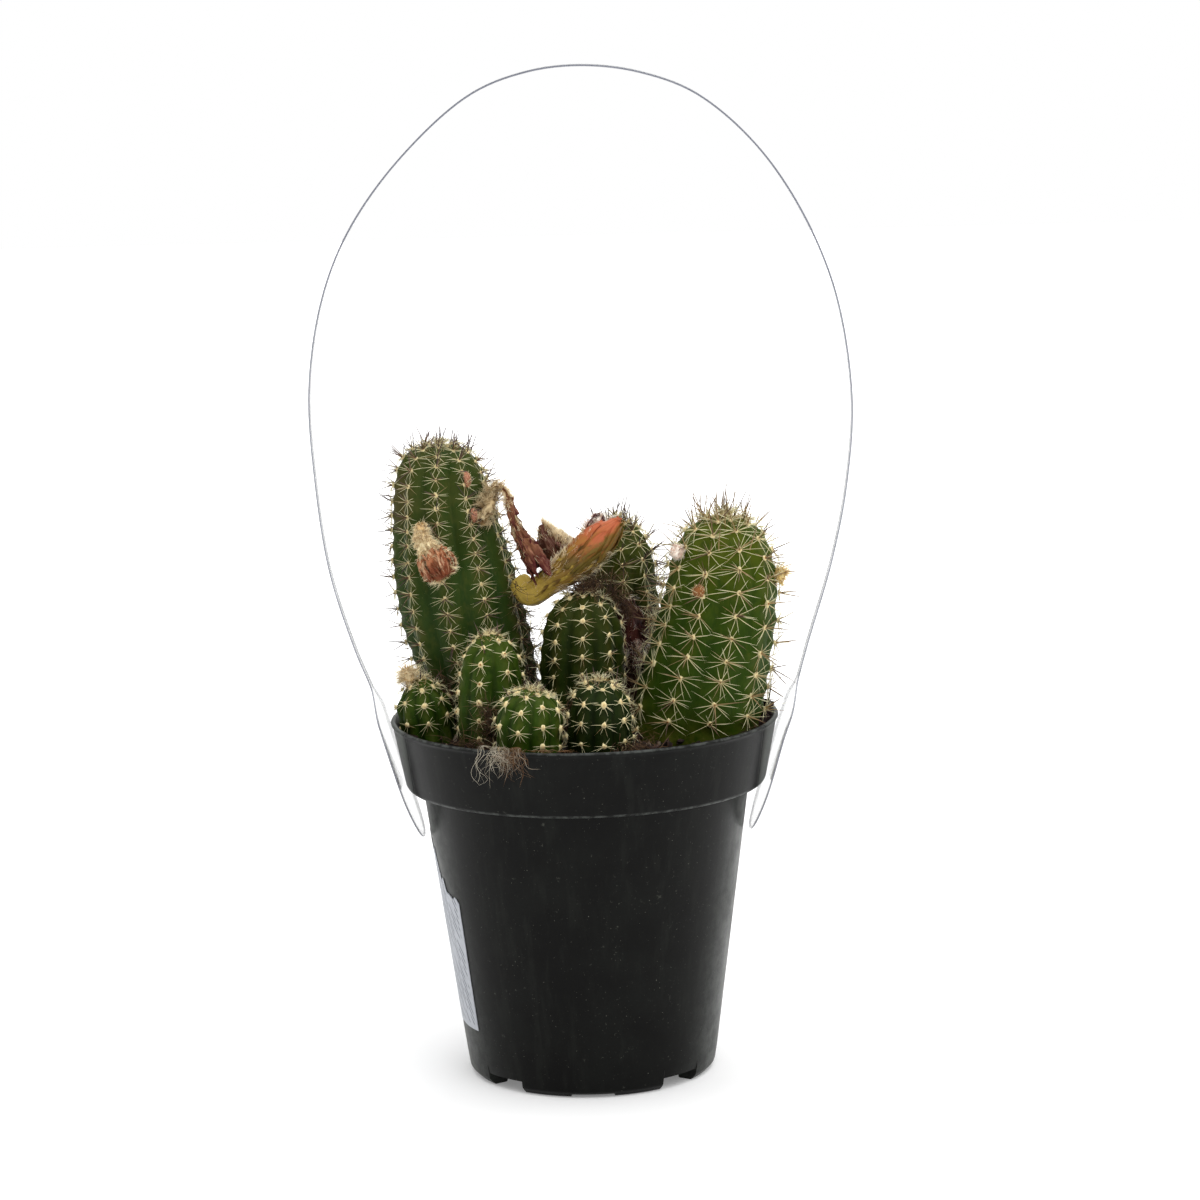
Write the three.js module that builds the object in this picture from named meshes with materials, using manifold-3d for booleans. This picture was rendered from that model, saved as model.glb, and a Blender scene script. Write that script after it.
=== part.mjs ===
// A potted cluster of ribbed, spined cacti in a round nursery pot with a clear carry handle.
// Millimetres, +Z up, the viewer's side is -Y. The origin is on the table under the pot's middle.
import * as THREE from 'three';
import Module from 'manifold-3d';
import { mergeVertices } from 'three/addons/utils/BufferGeometryUtils.js';

// Pot: a four-inch round nursery pot
const potHeight = 95;
const rimRadius = 51;
const bandBottomZ = 77;
const bandBottomRadius = 47.4;
const wallTopRadius = 43;
const wallFootRadius = 33;
const footRadius = 31;
const footInnerRadius = 27.2;
const footHeight = 3.3;
const wall = 1.2;
const floorTopZ = 5.4;
const potSides = 48;
const notchAngle = 48.5;
const notchWidth = 21.5;
const recessHeight = 0.7;
const drainHoleRadius = 3.5;
const drainHoleCircle = 20;

// Soil: fills the pot to just below the rim
const gap = 0.35;
const soilTopZ = 91;
const soilBump = 0.7;
const soilSides = 32;

// Handle: a strip of clear film, bent to a loop, with a wide paddle at each end
const filmThickness = 0.6;
const strapWidth = 5.5;
const paddleWidth = 30;
const paddleLength = 34;
const shoulderLength = 9;
const handleTopZ = 264;
const handleSteps = 50;

// Dry root hairs: a clump on the soil behind the front rim
const rootClumpCircle = 46;
const rootClumpZ = 93.1;

// Label: a torn sticker on the pot's left side
const labelFromAngle = -128;
const labelToAngle = -59;
const labelBottomZ = 12.5;
const labelTopZ = 52;
const labelTornZ = 64;
const labelThickness = 0.6;
const tornEdge = [[0, 1], [0.45, 1], [0.6, 0.55], [0.7, 0.5], [0.85, 0.08], [1, 0]];

// Spines: each areole is a small raised pad drawn out into four of them
const padWidth = 1.2;
const padHeight = 1.3;
const padLift = 0.35;
const shortestSpine = 1.3;
const spineGap = 0.45;
const areoleTurn = 21;
const crownRadius = 2.3;

// Colours, as sampled by eye
const colours = {
  pot: 0x232526,
  film: 0xe9edf2,
  label: 0xc3c8d2,
  soil: 0x32261d,
  darkGreen: 0x2f4a26,
  green: 0x3c6128,
  brightGreen: 0x4f7a2c,
  olive: 0x8f8230,
  salmon: 0xcc6f4e,
  wool: 0xcdb694,
  pinkWool: 0xb08b80,
  driedPetal: 0x8a4a36,
  maroon: 0x4d1d1a,
  brown: 0x6b4a2c,
  yellowWool: 0xcfae62,
  root: 0xa79a86,
};

const TURN = Math.PI * 2;

const wasm = await Module();
wasm.setup();

const potted = new THREE.Group();

function radians(degrees) {
  return degrees * Math.PI / 180;
}

function vector(x, y, z) {
  return new THREE.Vector3(x, y, z);
}

// A point at an angle round the pot's middle; 0 faces the viewer, + is to the right
function around(angle, radius, z) {
  return vector(radius * Math.sin(angle), -radius * Math.cos(angle), z);
}

// A repeatable stream of numbers from 0 to 1
function drawsFrom(seed) {
  let state = seed >>> 0;
  return () => {
    state = (state + 0x6d2b79f5) >>> 0;
    let mixed = Math.imul(state ^ (state >>> 15), state | 1);
    mixed ^= mixed + Math.imul(mixed ^ (mixed >>> 7), mixed | 61);
    return ((mixed ^ (mixed >>> 14)) >>> 0) / 4294967296;
  };
}

// Straight-line interpolation through a list of [position, value] pairs
function valueAt(pairs, position) {
  if (position <= pairs[0][0]) return pairs[0][1];
  for (let i = 1; i < pairs.length; i++) {
    const [x0, y0] = pairs[i - 1];
    const [x1, y1] = pairs[i];
    if (position <= x1) return y0 + (y1 - y0) * (position - x0) / (x1 - x0);
  }
  return pairs[pairs.length - 1][1];
}

function addPiece(name, geometry, colour, roughness = 0.7, metalness = 0) {
  geometry.computeVertexNormals();
  const material = new THREE.MeshStandardMaterial({ color: colour, roughness, metalness });
  const mesh = new THREE.Mesh(geometry, material);
  mesh.name = name;
  potted.add(mesh);
  return mesh;
}

function geometryOf(points, triangles) {
  const geometry = new THREE.BufferGeometry();
  const positions = new Float32Array(points.flatMap((p) => [p.x, p.y, p.z]));
  geometry.setAttribute('position', new THREE.BufferAttribute(positions, 3));
  geometry.setIndex(triangles);
  return geometry;
}

function toSolid(geometry) {
  const bare = geometry.clone();
  for (const name of Object.keys(bare.attributes)) {
    if (name !== 'position') bare.deleteAttribute(name);
  }
  const merged = mergeVertices(bare, 1e-4);
  return new wasm.Manifold(new wasm.Mesh({
    numProp: 3,
    vertProperties: new Float32Array(merged.attributes.position.array),
    triVerts: new Uint32Array(merged.index.array),
  }));
}

function fromSolid(solid) {
  const mesh = solid.getMesh();
  const geometry = new THREE.BufferGeometry();
  geometry.setAttribute('position', new THREE.BufferAttribute(mesh.vertProperties, 3));
  geometry.setIndex(new THREE.BufferAttribute(mesh.triVerts, 1));
  return geometry;
}

// A closed skin over rings of points, from the bottom ring to the top one, each ring
// counterclockwise seen from the top. A raised quad is drawn out to spines: four from its
// middle and sides, or one from the whole quad.
function closedSkin(rings, bottom, top, raised = new Map()) {
  const columns = rings[0].length;
  const points = [bottom, ...rings.flat(), top];
  const triangles = [];
  const at = (ring, column) => 1 + ring * columns + column % columns;
  const face = (a, b, c) => triangles.push(a, b, c);
  const addPoint = (point) => points.push(point) - 1;
  for (let c = 0; c < columns; c++) {
    face(0, at(0, c + 1), at(0, c));
    face(at(rings.length - 1, c), at(rings.length - 1, c + 1), 1 + rings.length * columns);
  }
  for (let r = 0; r < rings.length - 1; r++) {
    for (let c = 0; c < columns; c++) {
      const corners = [at(r, c), at(r, c + 1), at(r + 1, c + 1), at(r + 1, c)];
      const spines = raised.get(`${r},${c}`);
      if (!spines) {
        face(corners[0], corners[1], corners[2]);
        face(corners[0], corners[2], corners[3]);
        continue;
      }
      const middle = addPoint(spines.middle);
      for (let side = 0; side < 4; side++) {
        const from = corners[side];
        const to = corners[(side + 1) % 4];
        const tip = spines.tips ? spines.tips[side] : null;
        if (!tip) {
          face(from, to, middle);
          continue;
        }
        const apex = addPoint(tip);
        face(from, to, apex);
        face(to, middle, apex);
        face(middle, from, apex);
      }
    }
  }
  return geometryOf(points, triangles);
}

// The stems. axis: points up the middle. profile: [height above the foot, radius] to the crown.
// ribs, phase and twist in degrees set the ribs; 0 degrees faces the viewer, + is to the right.
const stems = [
  {
    name: 'stem_tall_left', colour: colours.darkGreen, ribs: 10, phase: -19, twist: 18, depth: 1.7,
    axis: [[-24.8, 13, 85], [-28.4, 13, 106], [-32.3, 12.5, 124], [-35, 12, 140], [-36.6, 11.5, 156],
      [-36.4, 11.5, 166.2]],
    profile: [[0, 14.4], [7, 15.2], [22, 15.6], [35, 16.2], [41, 16.2], [49, 15.6], [57, 14.6],
      [67, 13.1], [73, 12.0], [78, 9.9], [81, 6.4], [82.4, 0]],
    firstAreole: 0.1, areoles: 12, spine: 3.9, crownSpine: 4.4, seed: 11,
  },
  {
    name: 'stem_right', colour: colours.brightGreen, ribs: 10, phase: -30, twist: 13, depth: 1.3,
    axis: [[27.6, -7, 85], [29.6, -7, 96], [31.8, -7, 106], [34.3, -7, 116], [36.1, -7, 126],
      [36.9, -7, 137], [37.6, -7, 148.2]],
    profile: [[0, 15.9], [11, 16.6], [21, 16.1], [31, 15.4], [41, 14.8], [49, 13.9], [55, 12.3],
      [60, 9.5], [62.9, 5.4], [64.3, 0]],
    firstAreole: 0.12, areoles: 9, spine: 7.4, crownSpine: 6.4, seed: 23,
  },
  {
    name: 'stem_back', colour: colours.green, ribs: 10, phase: 6, twist: 0, depth: 1.1,
    axis: [[10.9, 22, 85], [10.4, 22, 110], [9.9, 22, 129], [9.6, 22, 143.8]],
    profile: [[0, 10.2], [12, 10.8], [25, 10.9], [36, 10.7], [44.5, 10.1], [52, 8.2], [56.5, 4.8],
      [58.8, 0]],
    firstAreole: 0.14, areoles: 7, spine: 5.2, crownSpine: 6.2, seed: 37,
  },
  {
    name: 'stem_center', colour: colours.darkGreen, ribs: 9, phase: 0, twist: 0, depth: 1.2,
    axis: [[-0.8, -3, 85], [-0.4, -3, 105], [0.1, -3, 119], [0.4, -3, 128.3]],
    profile: [[0, 10.3], [10, 10.9], [20, 11.0], [28, 10.8], [35, 9.9], [40, 7.2], [42.6, 3.6],
      [43.4, 0]],
    firstAreole: 0.18, areoles: 6, spine: 3.6, crownSpine: 3.6, seed: 41,
  },
  {
    name: 'stem_front_left', colour: colours.green, ribs: 7, phase: -17, twist: 0, depth: 1.1,
    axis: [[-24.7, -16, 86], [-24.2, -16, 102], [-23.9, -16, 112], [-23.8, -16, 119.9]],
    profile: [[0, 8.0], [9, 8.5], [17, 8.5], [23, 8.1], [28, 7.0], [31.6, 4.6], [33.3, 2.2],
      [33.9, 0]],
    firstAreole: 0.2, areoles: 6, spine: 3.3, crownSpine: 3.0, seed: 53,
  },
  {
    name: 'stem_small_left', colour: colours.green, ribs: 8, phase: 5, twist: 0, depth: 1.0,
    axis: [[-39.6, -6, 86.5], [-40.6, -6, 93.5], [-42.0, -6, 100], [-42.6, -6, 106.9]],
    profile: [[0, 6.4], [5, 6.8], [8.5, 7.0], [12, 7.2], [15, 6.5], [18, 4.4], [19.9, 2.2], [20.7, 0]],
    firstAreole: 0.3, areoles: 4, spine: 3.0, crownSpine: 2.6, seed: 67,
  },
  {
    name: 'stem_small_front_left', colour: colours.green, ribs: 9, phase: -17, twist: 0, depth: 0.9,
    axis: [[-13.9, -32, 86], [-14.1, -32, 95], [-13.6, -32, 102], [-12.7, -32, 108]],
    profile: [[0, 8.1], [8, 8.5], [12.5, 8.7], [16.5, 8.0], [19.3, 6.4], [21.4, 3.4], [22.1, 0]],
    firstAreole: 0.28, areoles: 4, spine: 3.0, crownSpine: 2.6, seed: 71,
  },
  {
    name: 'stem_small_front_right', colour: colours.darkGreen, ribs: 9, phase: 8, twist: 0, depth: 0.9,
    axis: [[3.7, -29, 86], [3.8, -29, 97], [4.0, -29, 104], [4.4, -29, 109.6]],
    profile: [[0, 8.0], [8, 8.4], [13, 8.3], [17.5, 7.4], [20.8, 5.6], [22.9, 3.0], [23.6, 0]],
    firstAreole: 0.28, areoles: 4, spine: 3.2, crownSpine: 2.8, seed: 83,
  },
];

// Surface, axis and envelope of one stem
function stemShape(stem) {
  const axis = new THREE.CatmullRomCurve3(stem.axis.map((p) => vector(...p)));
  const height = axis.getLength();
  const scale = height / stem.profile[stem.profile.length - 1][0];
  const outline = new THREE.SplineCurve(stem.profile.map(([h, r]) => new THREE.Vector2(r, h * scale)));
  const widest = Math.max(...stem.profile.map(([, r]) => r));

  function frameAt(h) {
    const along = THREE.MathUtils.clamp(h / height, 0, 1);
    const middle = axis.getPointAt(along);
    const tangent = axis.getTangentAt(along);
    const back = vector(0, 1, 0).addScaledVector(tangent, -tangent.y).normalize();
    const right = back.clone().cross(tangent);
    return { middle, tangent, back, right };
  }

  function outwardAt(frame, angle) {
    return frame.right.clone().multiplyScalar(Math.sin(angle))
      .addScaledVector(frame.back, -Math.cos(angle));
  }

  // u runs along the outline from foot to crown; sink pulls the point in towards the axis
  function pointAt(angle, u, sink = 0) {
    const { x: radius, y: h } = outline.getPointAt(u);
    const frame = frameAt(h);
    return frame.middle.addScaledVector(outwardAt(frame, angle), Math.max(radius - sink, 0.05));
  }

  function normalAt(angle, u) {
    const { y: h } = outline.getPointAt(u);
    const slope = outline.getTangentAt(u);
    const frame = frameAt(h);
    return outwardAt(frame, angle).multiplyScalar(slope.y).addScaledVector(frame.tangent, -slope.x)
      .normalize();
  }

  function ribAngle(rib, u) {
    const { y: h } = outline.getPointAt(u);
    return radians(stem.phase + stem.twist * h / height + rib * 360 / stem.ribs);
  }

  const balls = [];
  for (let i = 0; i <= 30; i++) {
    const { x: radius, y: h } = outline.getPointAt(i / 30);
    balls.push({ centre: frameAt(h).middle, radius: Math.max(radius, 0.1) });
  }
  return { stem, axis, height, outline, widest, frameAt, outwardAt, pointAt, normalAt, ribAngle, balls };
}

const shapes = stems.map(stemShape);

function shapeOf(name) {
  return shapes.find((shape) => shape.stem.name === name);
}

// A point held clear of a stem's crests: standoff from its skin at this height and angle
function beside(name, z, angle, standoff) {
  const shape = shapeOf(name);
  const foot = shape.stem.axis[0][2];
  let h = z - foot;
  for (let i = 0; i < 4; i++) h += z - shape.frameAt(h).middle.z;
  let low = 0;
  let high = 1;
  for (let i = 0; i < 24; i++) {
    const u = (low + high) / 2;
    if (shape.outline.getPointAt(u).y < h) low = u;
    else high = u;
  }
  const frame = shape.frameAt(h);
  const radius = shape.outline.getPointAt(low).x + standoff;
  const point = frame.middle.addScaledVector(shape.outwardAt(frame, radians(angle)), radius);
  return [point.x, point.y, point.z];
}

// Buds, blooms and wool: each a closed skin round a path. radius: [part of the path, radius].
// folds and foldDepth wrinkle the skin lengthwise; spikes draws quads out to hairs or petal tips.
// openEnd leaves the end flat and bare, for the petals that stand on it.
const blooms = [
  {
    name: 'bud_tube', colour: colours.olive, sides: 12, rows: 9,
    path: [beside('stem_tall_left', 127.4, 66, 0.9), [-13.4, 3.6, 127.2], [-8.2, 0.6, 130.8],
      [-3.2, -2.4, 134.2], [0.6, -4.2, 137.8]],
    radius: [[0, 1.2], [0.08, 2.3], [0.25, 3.3], [0.5, 3.5], [0.8, 4.1], [1, 4.3]],
    folds: 6, foldDepth: 0.04, twist: 40, spikes: { every: 2, length: 1.0, lean: 0.75 }, seed: 5,
    openEnd: true,
  },
  {
    name: 'bud_petals', colour: colours.salmon, sides: 12, rows: 7,
    path: [[1.0, -4.4, 138.1], [4.4, -6.0, 141.4], [7.8, -7.2, 144.6], [10.4, -7.8, 147.2]],
    radius: [[0, 4.1], [0.3, 4.2], [0.6, 3.4], [0.85, 1.9], [1, 0.8]],
    folds: 6, foldDepth: 0.12, twist: 50, spikes: { every: 3, length: 0.9, lean: 0.9 }, seed: 6,
  },
  {
    name: 'front_bloom_wool', colour: colours.wool, sides: 10, rows: 6,
    path: [beside('stem_tall_left', 147.8, -21, 2.3), beside('stem_tall_left', 144.4, -19, 3.9),
      beside('stem_tall_left', 141.4, -14, 5.0)],
    radius: [[0, 1.6], [0.3, 2.8], [0.7, 3.6], [1, 4.0]],
    folds: 5, foldDepth: 0.06, twist: 20, spikes: { every: 2, length: 1.3, lean: 0.3 }, seed: 7,
    openEnd: true,
  },
  {
    name: 'front_bloom_petals', colour: colours.driedPetal, sides: 12, rows: 6,
    path: [beside('stem_tall_left', 140.1, -12, 5.7), beside('stem_tall_left', 135.9, -4, 6.3)],
    radius: [[0, 3.7], [0.3, 4.4], [0.6, 4.6], [0.9, 3.6], [1, 2.4]],
    folds: 6, foldDepth: 0.1, twist: 20, spikes: { every: 2, length: 0.9, lean: 0.45 }, seed: 8,
  },
  {
    name: 'side_wool', colour: colours.wool, sides: 9, rows: 5,
    path: [beside('stem_tall_left', 152.4, 56, 2.6), beside('stem_tall_left', 150, 58, 3.2),
      beside('stem_tall_left', 147.8, 58, 2.6)],
    radius: [[0, 1.1], [0.3, 2.1], [0.7, 2.1], [1, 1.0]],
    folds: 4, foldDepth: 0.1, twist: 0, spikes: { every: 2, length: 1.3, lean: 0.1 }, seed: 9,
  },
  {
    name: 'hanging_bloom', colour: colours.driedPetal, sides: 8, rows: 14,
    path: [[-23.0, 2.8, 155.0], [-21.2, 2.4, 155.9], [-19.2, 1.6, 154.6], [-18.4, 0.8, 151.2],
      [-16.9, 0.2, 146.2], [-14.6, -0.4, 141.2], [-12.4, -1.0, 137.2], [-10.9, -1.6, 134.6]],
    radius: [[0, 0.6], [0.2, 0.8], [0.4, 1.2], [0.65, 2.0], [0.85, 2.7], [1, 2.6]],
    folds: 4, foldDepth: 0.2, twist: 60, spikes: { every: 3, length: 0.8, lean: 0.6 }, seed: 10,
  },
  {
    name: 'cone_bloom', colour: colours.maroon, sides: 12, rows: 8,
    path: [beside('stem_back', 134.0, -66, 0.9), [-3.0, 12.6, 135.4], [-7.4, 7.8, 138.6],
      [-9.4, 7.2, 142.4], [-10.4, 7.0, 145.8]],
    radius: [[0, 1.2], [0.15, 2.4], [0.42, 4.3], [0.66, 4.2], [0.86, 2.6], [1, 0.7]],
    folds: 6, foldDepth: 0.08, twist: 20, spikes: { every: 2, length: 1.5, lean: 0.5 }, seed: 12,
  },
  {
    name: 'back_bloom', colour: colours.pinkWool, sides: 9, rows: 5,
    path: [beside('stem_back', 137.6, -48, 1.7), beside('stem_back', 141.0, -44, 3.6),
      beside('stem_back', 143.0, -40, 5.6)],
    radius: [[0, 1.0], [0.4, 2.5], [0.8, 2.1], [1, 1.0]],
    folds: 4, foldDepth: 0.12, twist: 10, spikes: { every: 2, length: 1.4, lean: 0.4 }, seed: 13,
  },
  {
    name: 'low_bloom', colour: colours.maroon, sides: 11, rows: 9,
    path: [[12.6, 6.8, 92.6], [12.6, 6.6, 104], [12.8, 6.2, 112], [12.6, 6.0, 119], [11.6, 5.8, 124]],
    radius: [[0, 0.8], [0.2, 1.7], [0.45, 2.4], [0.62, 3.7], [0.82, 3.6], [1, 1.2]],
    folds: 5, foldDepth: 0.18, twist: 80, spikes: { every: 3, length: 1.3, lean: 0.7 }, seed: 14,
  },
  {
    name: 'right_bud', colour: colours.pinkWool, sides: 8, rows: 5,
    path: [beside('stem_right', 138.4, -64, 0.5), beside('stem_right', 139.2, -64, 2.4),
      beside('stem_right', 140.4, -64, 4.4)],
    radius: [[0, 0.9], [0.35, 2.2], [0.7, 2.1], [1, 1.0]],
    folds: 4, foldDepth: 0.06, twist: 0, spikes: { every: 2, length: 0.8, lean: 0.5 }, seed: 15,
  },
  {
    name: 'right_brown_bud', colour: colours.brown, sides: 7, rows: 4,
    path: [beside('stem_right', 130.0, -23, 1.1), beside('stem_right', 130.2, -23, 2.2),
      beside('stem_right', 130.6, -23, 3.4)],
    radius: [[0, 0.8], [0.4, 1.6], [0.8, 1.2], [1, 0.5]],
    folds: 3, foldDepth: 0.05, twist: 0, spikes: { every: 2, length: 0.9, lean: 0.3 }, seed: 16,
  },
  {
    name: 'right_side_tuft', colour: colours.yellowWool, sides: 7, rows: 4,
    path: [beside('stem_right', 132.4, 84, 0.5), beside('stem_right', 132.9, 84, 1.8),
      beside('stem_right', 133.6, 84, 3.0)],
    radius: [[0, 0.8], [0.4, 1.7], [0.8, 1.4], [1, 0.6]],
    folds: 3, foldDepth: 0.05, twist: 0, spikes: { every: 2, length: 1.2, lean: 0.3 }, seed: 17,
  },
  {
    name: 'tall_bud_upper', colour: colours.salmon, sides: 7, rows: 4,
    path: [beside('stem_tall_left', 156.6, 37, 0.9), beside('stem_tall_left', 157.6, 37, 1.9),
      beside('stem_tall_left', 159.2, 37, 2.5)],
    radius: [[0, 0.7], [0.4, 1.2], [0.8, 0.9], [1, 0.4]],
    folds: 3, foldDepth: 0.06, twist: 0, spikes: { every: 2, length: 0.5, lean: 0.4 }, seed: 18,
  },
  {
    name: 'tall_bud_lower', colour: colours.salmon, sides: 7, rows: 4,
    path: [beside('stem_tall_left', 147.0, 36, 0.9), beside('stem_tall_left', 148.0, 36, 1.9),
      beside('stem_tall_left', 149.4, 36, 2.5)],
    radius: [[0, 0.7], [0.4, 1.2], [0.8, 0.9], [1, 0.4]],
    folds: 3, foldDepth: 0.06, twist: 0, spikes: { every: 2, length: 0.5, lean: 0.4 }, seed: 19,
  },
  {
    name: 'small_left_tuft', colour: colours.wool, sides: 8, rows: 4,
    path: [[-45.4, -6.4, 107.0], [-45.8, -6.4, 108.4], [-46.2, -6.4, 109.6]],
    radius: [[0, 1.4], [0.4, 2.4], [0.8, 1.9], [1, 0.9]],
    folds: 4, foldDepth: 0.1, twist: 0, spikes: { every: 1, length: 1.2, lean: 0.4 }, seed: 20,
  },
];

// Path, radius and envelope of one bud or bloom
function bloomShape(bloom) {
  const path = new THREE.CatmullRomCurve3(bloom.path.map((p) => vector(...p)));
  const longest = bloom.spikes.length;
  const balls = [];
  for (let i = 0; i <= 16; i++) {
    balls.push({ centre: path.getPointAt(i / 16), radius: valueAt(bloom.radius, i / 16) + longest });
  }
  return { bloom, path, balls };
}

const bloomShapes = blooms.map(bloomShape);

// Where the clump of dry root hairs lies on the soil, behind the front rim
const rootClump = [-27, -23.5, -20, -16.5, -13].map((angle) => ({
  centre: around(radians(angle), rootClumpCircle, rootClumpZ), radius: 1.7,
}));

function distanceTo(balls, point) {
  return Math.min(...balls.map((ball) => ball.centre.distanceTo(point) - ball.radius));
}

// Spines stay out of the pot, the soil, the handle, the blooms and the neighbours' space
function isFree(point, own) {
  const reach = Math.hypot(point.x, point.y);
  const overRim = point.z > potHeight + 0.6;
  if (reach > (overRim ? 50.6 + 0.33 * (point.z - potHeight) : rimRadius - 3.2)) return false;
  if (point.z < soilTopZ + soilBump + 0.6) return false;
  if (distanceTo(rootClump, point) < 0.5) return false;
  if (bloomShapes.some((shape) => distanceTo(shape.balls, point) < 0.4)) return false;
  const toOwn = Math.max(distanceTo(own.balls, point), 0);
  return shapes.every((shape) => shape === own || distanceTo(shape.balls, point) > toOwn + 0.7);
}

// How long a spine may be here, or 0 where it has no room
function roomFor(root, direction, wanted, own, areole, placed) {
  for (let length = wanted; length >= shortestSpine; length *= 0.84) {
    const tip = root.clone().addScaledVector(direction, length);
    const middle = root.clone().lerp(tip, 0.5);
    const spine = new THREE.Line3(root, tip);
    const nearby = (other) => other.areole !== areole
      && other.line.start.distanceTo(root) < length + other.line.distance() + 1
      && spine.distanceSqToLine3(other.line) < spineGap * spineGap;
    if (isFree(tip, own) && isFree(middle, own) && !placed.some(nearby)) return length;
  }
  return 0;
}

const placedSpines = [];

function middleOf(points) {
  return points.reduce((sum, p) => sum.add(p), vector(0, 0, 0)).divideScalar(points.length);
}

// The crown's innermost areoles each stand up in one spine
function crownSpine(shape, corners, angle, u, draw, id) {
  const root = middleOf(corners);
  const normal = shape.normalAt(angle, u);
  const wanted = shape.stem.crownSpine * (0.8 + 0.3 * draw());
  const length = roomFor(root, normal, wanted, shape, id, placedSpines) || padLift;
  const tip = root.clone().addScaledVector(normal, length);
  placedSpines.push({ areole: id, line: new THREE.Line3(root, tip) });
  return { middle: tip };
}

// One areole: its raised middle and the tips of its four spines, below, right, above and left
function areoleSpines(shape, corners, angle, u, draw, id) {
  const { stem } = shape;
  const normal = shape.normalAt(angle, u);
  const across = corners[1].clone().sub(corners[0]).normalize();
  const upward = normal.clone().cross(across).normalize();
  const middle = middleOf(corners).addScaledVector(normal, padLift);
  const crown = THREE.MathUtils.smoothstep(u, 0.8, 1);
  const wanted = THREE.MathUtils.lerp(stem.spine, stem.crownSpine, crown);
  const tips = [];
  for (let side = 0; side < 4; side++) {
    const heading = radians(-90 + 90 * side + areoleTurn + (draw() - 0.5) * 16);
    const sideways = side % 2 === 1;
    const rise = radians((sideways ? 27 : 48) + crown * 22 + (draw() - 0.5) * 14);
    const direction = across.clone().multiplyScalar(Math.cos(heading) * Math.cos(rise))
      .addScaledVector(upward, Math.sin(heading) * Math.cos(rise))
      .addScaledVector(normal, Math.sin(rise));
    const root = middleOf([corners[side], corners[(side + 1) % 4], middle]);
    const length = roomFor(root, direction, wanted * (0.86 + 0.28 * draw()), shape, id, placedSpines);
    if (length === 0) {
      tips.push(null);
      continue;
    }
    const tip = root.clone().addScaledVector(direction, length);
    placedSpines.push({ areole: id, line: new THREE.Line3(root, tip) });
    tips.push(tip);
  }
  return { middle, tips };
}

// A stem: per rib a valley column and the two sides of its crest, per areole a lower and an
// upper ring. The quad between the crest's sides and an areole's rings is the areole.
function stemGeometry(shape) {
  const { stem } = shape;
  const draw = drawsFrom(stem.seed);
  const length = shape.outline.getLength();
  const lastAreole = 1 - crownRadius / length;
  const pitch = (lastAreole - stem.firstAreole) / (stem.areoles - 1);
  const ringsAt = [{ u: 0, stagger: 0 }];
  for (let k = 0; k < stem.areoles; k++) {
    const middle = stem.firstAreole + k * pitch;
    const half = Math.min(padHeight / 2 / length, pitch * 0.3);
    const stagger = 1 - k / (stem.areoles - 1);
    ringsAt.push({ u: middle - half, stagger });
    ringsAt.push({ u: middle + half, stagger });
  }
  const staggerOf = (rib) => ((rib % 2) - 0.5) * pitch * 0.24;
  const rings = ringsAt.map(({ u, stagger }) => {
    const ring = [];
    for (let rib = 0; rib < stem.ribs; rib++) {
      const before = (rib + stem.ribs - 1) % stem.ribs;
      const ribU = u + stagger * staggerOf(rib);
      const valleyU = u + stagger * (staggerOf(rib) + staggerOf(before)) / 2;
      const radius = shape.outline.getPointAt(ribU).x;
      const halfRib = Math.PI / stem.ribs;
      const halfPad = Math.min(padWidth / 2 / Math.max(radius, 0.1), halfRib * 0.5);
      const sink = stem.depth * Math.min(1, radius / (0.6 * shape.widest));
      ring.push(shape.pointAt(shape.ribAngle(rib, valleyU) - halfRib, valleyU, sink));
      ring.push(shape.pointAt(shape.ribAngle(rib, ribU) - halfPad, ribU));
      ring.push(shape.pointAt(shape.ribAngle(rib, ribU) + halfPad, ribU));
    }
    return ring;
  });
  const raised = new Map();
  for (let k = stem.areoles - 1; k >= 0; k--) {
    for (let rib = 0; rib < stem.ribs; rib++) {
      const low = rings[2 * k + 1];
      const high = rings[2 * k + 2];
      const left = 3 * rib + 1;
      const corners = [low[left], low[left + 1], high[left + 1], high[left]];
      const u = stem.firstAreole + k * pitch + ringsAt[2 * k + 1].stagger * staggerOf(rib);
      const angle = shape.ribAngle(rib, u);
      const id = `${stem.name} ${rib} ${k}`;
      const makeSpines = k === stem.areoles - 1 ? crownSpine : areoleSpines;
      raised.set(`${2 * k + 1},${left}`, makeSpines(shape, corners, angle, u, draw, id));
    }
  }
  return closedSkin(rings, shape.axis.getPointAt(0), shape.axis.getPointAt(1), raised);
}

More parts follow.
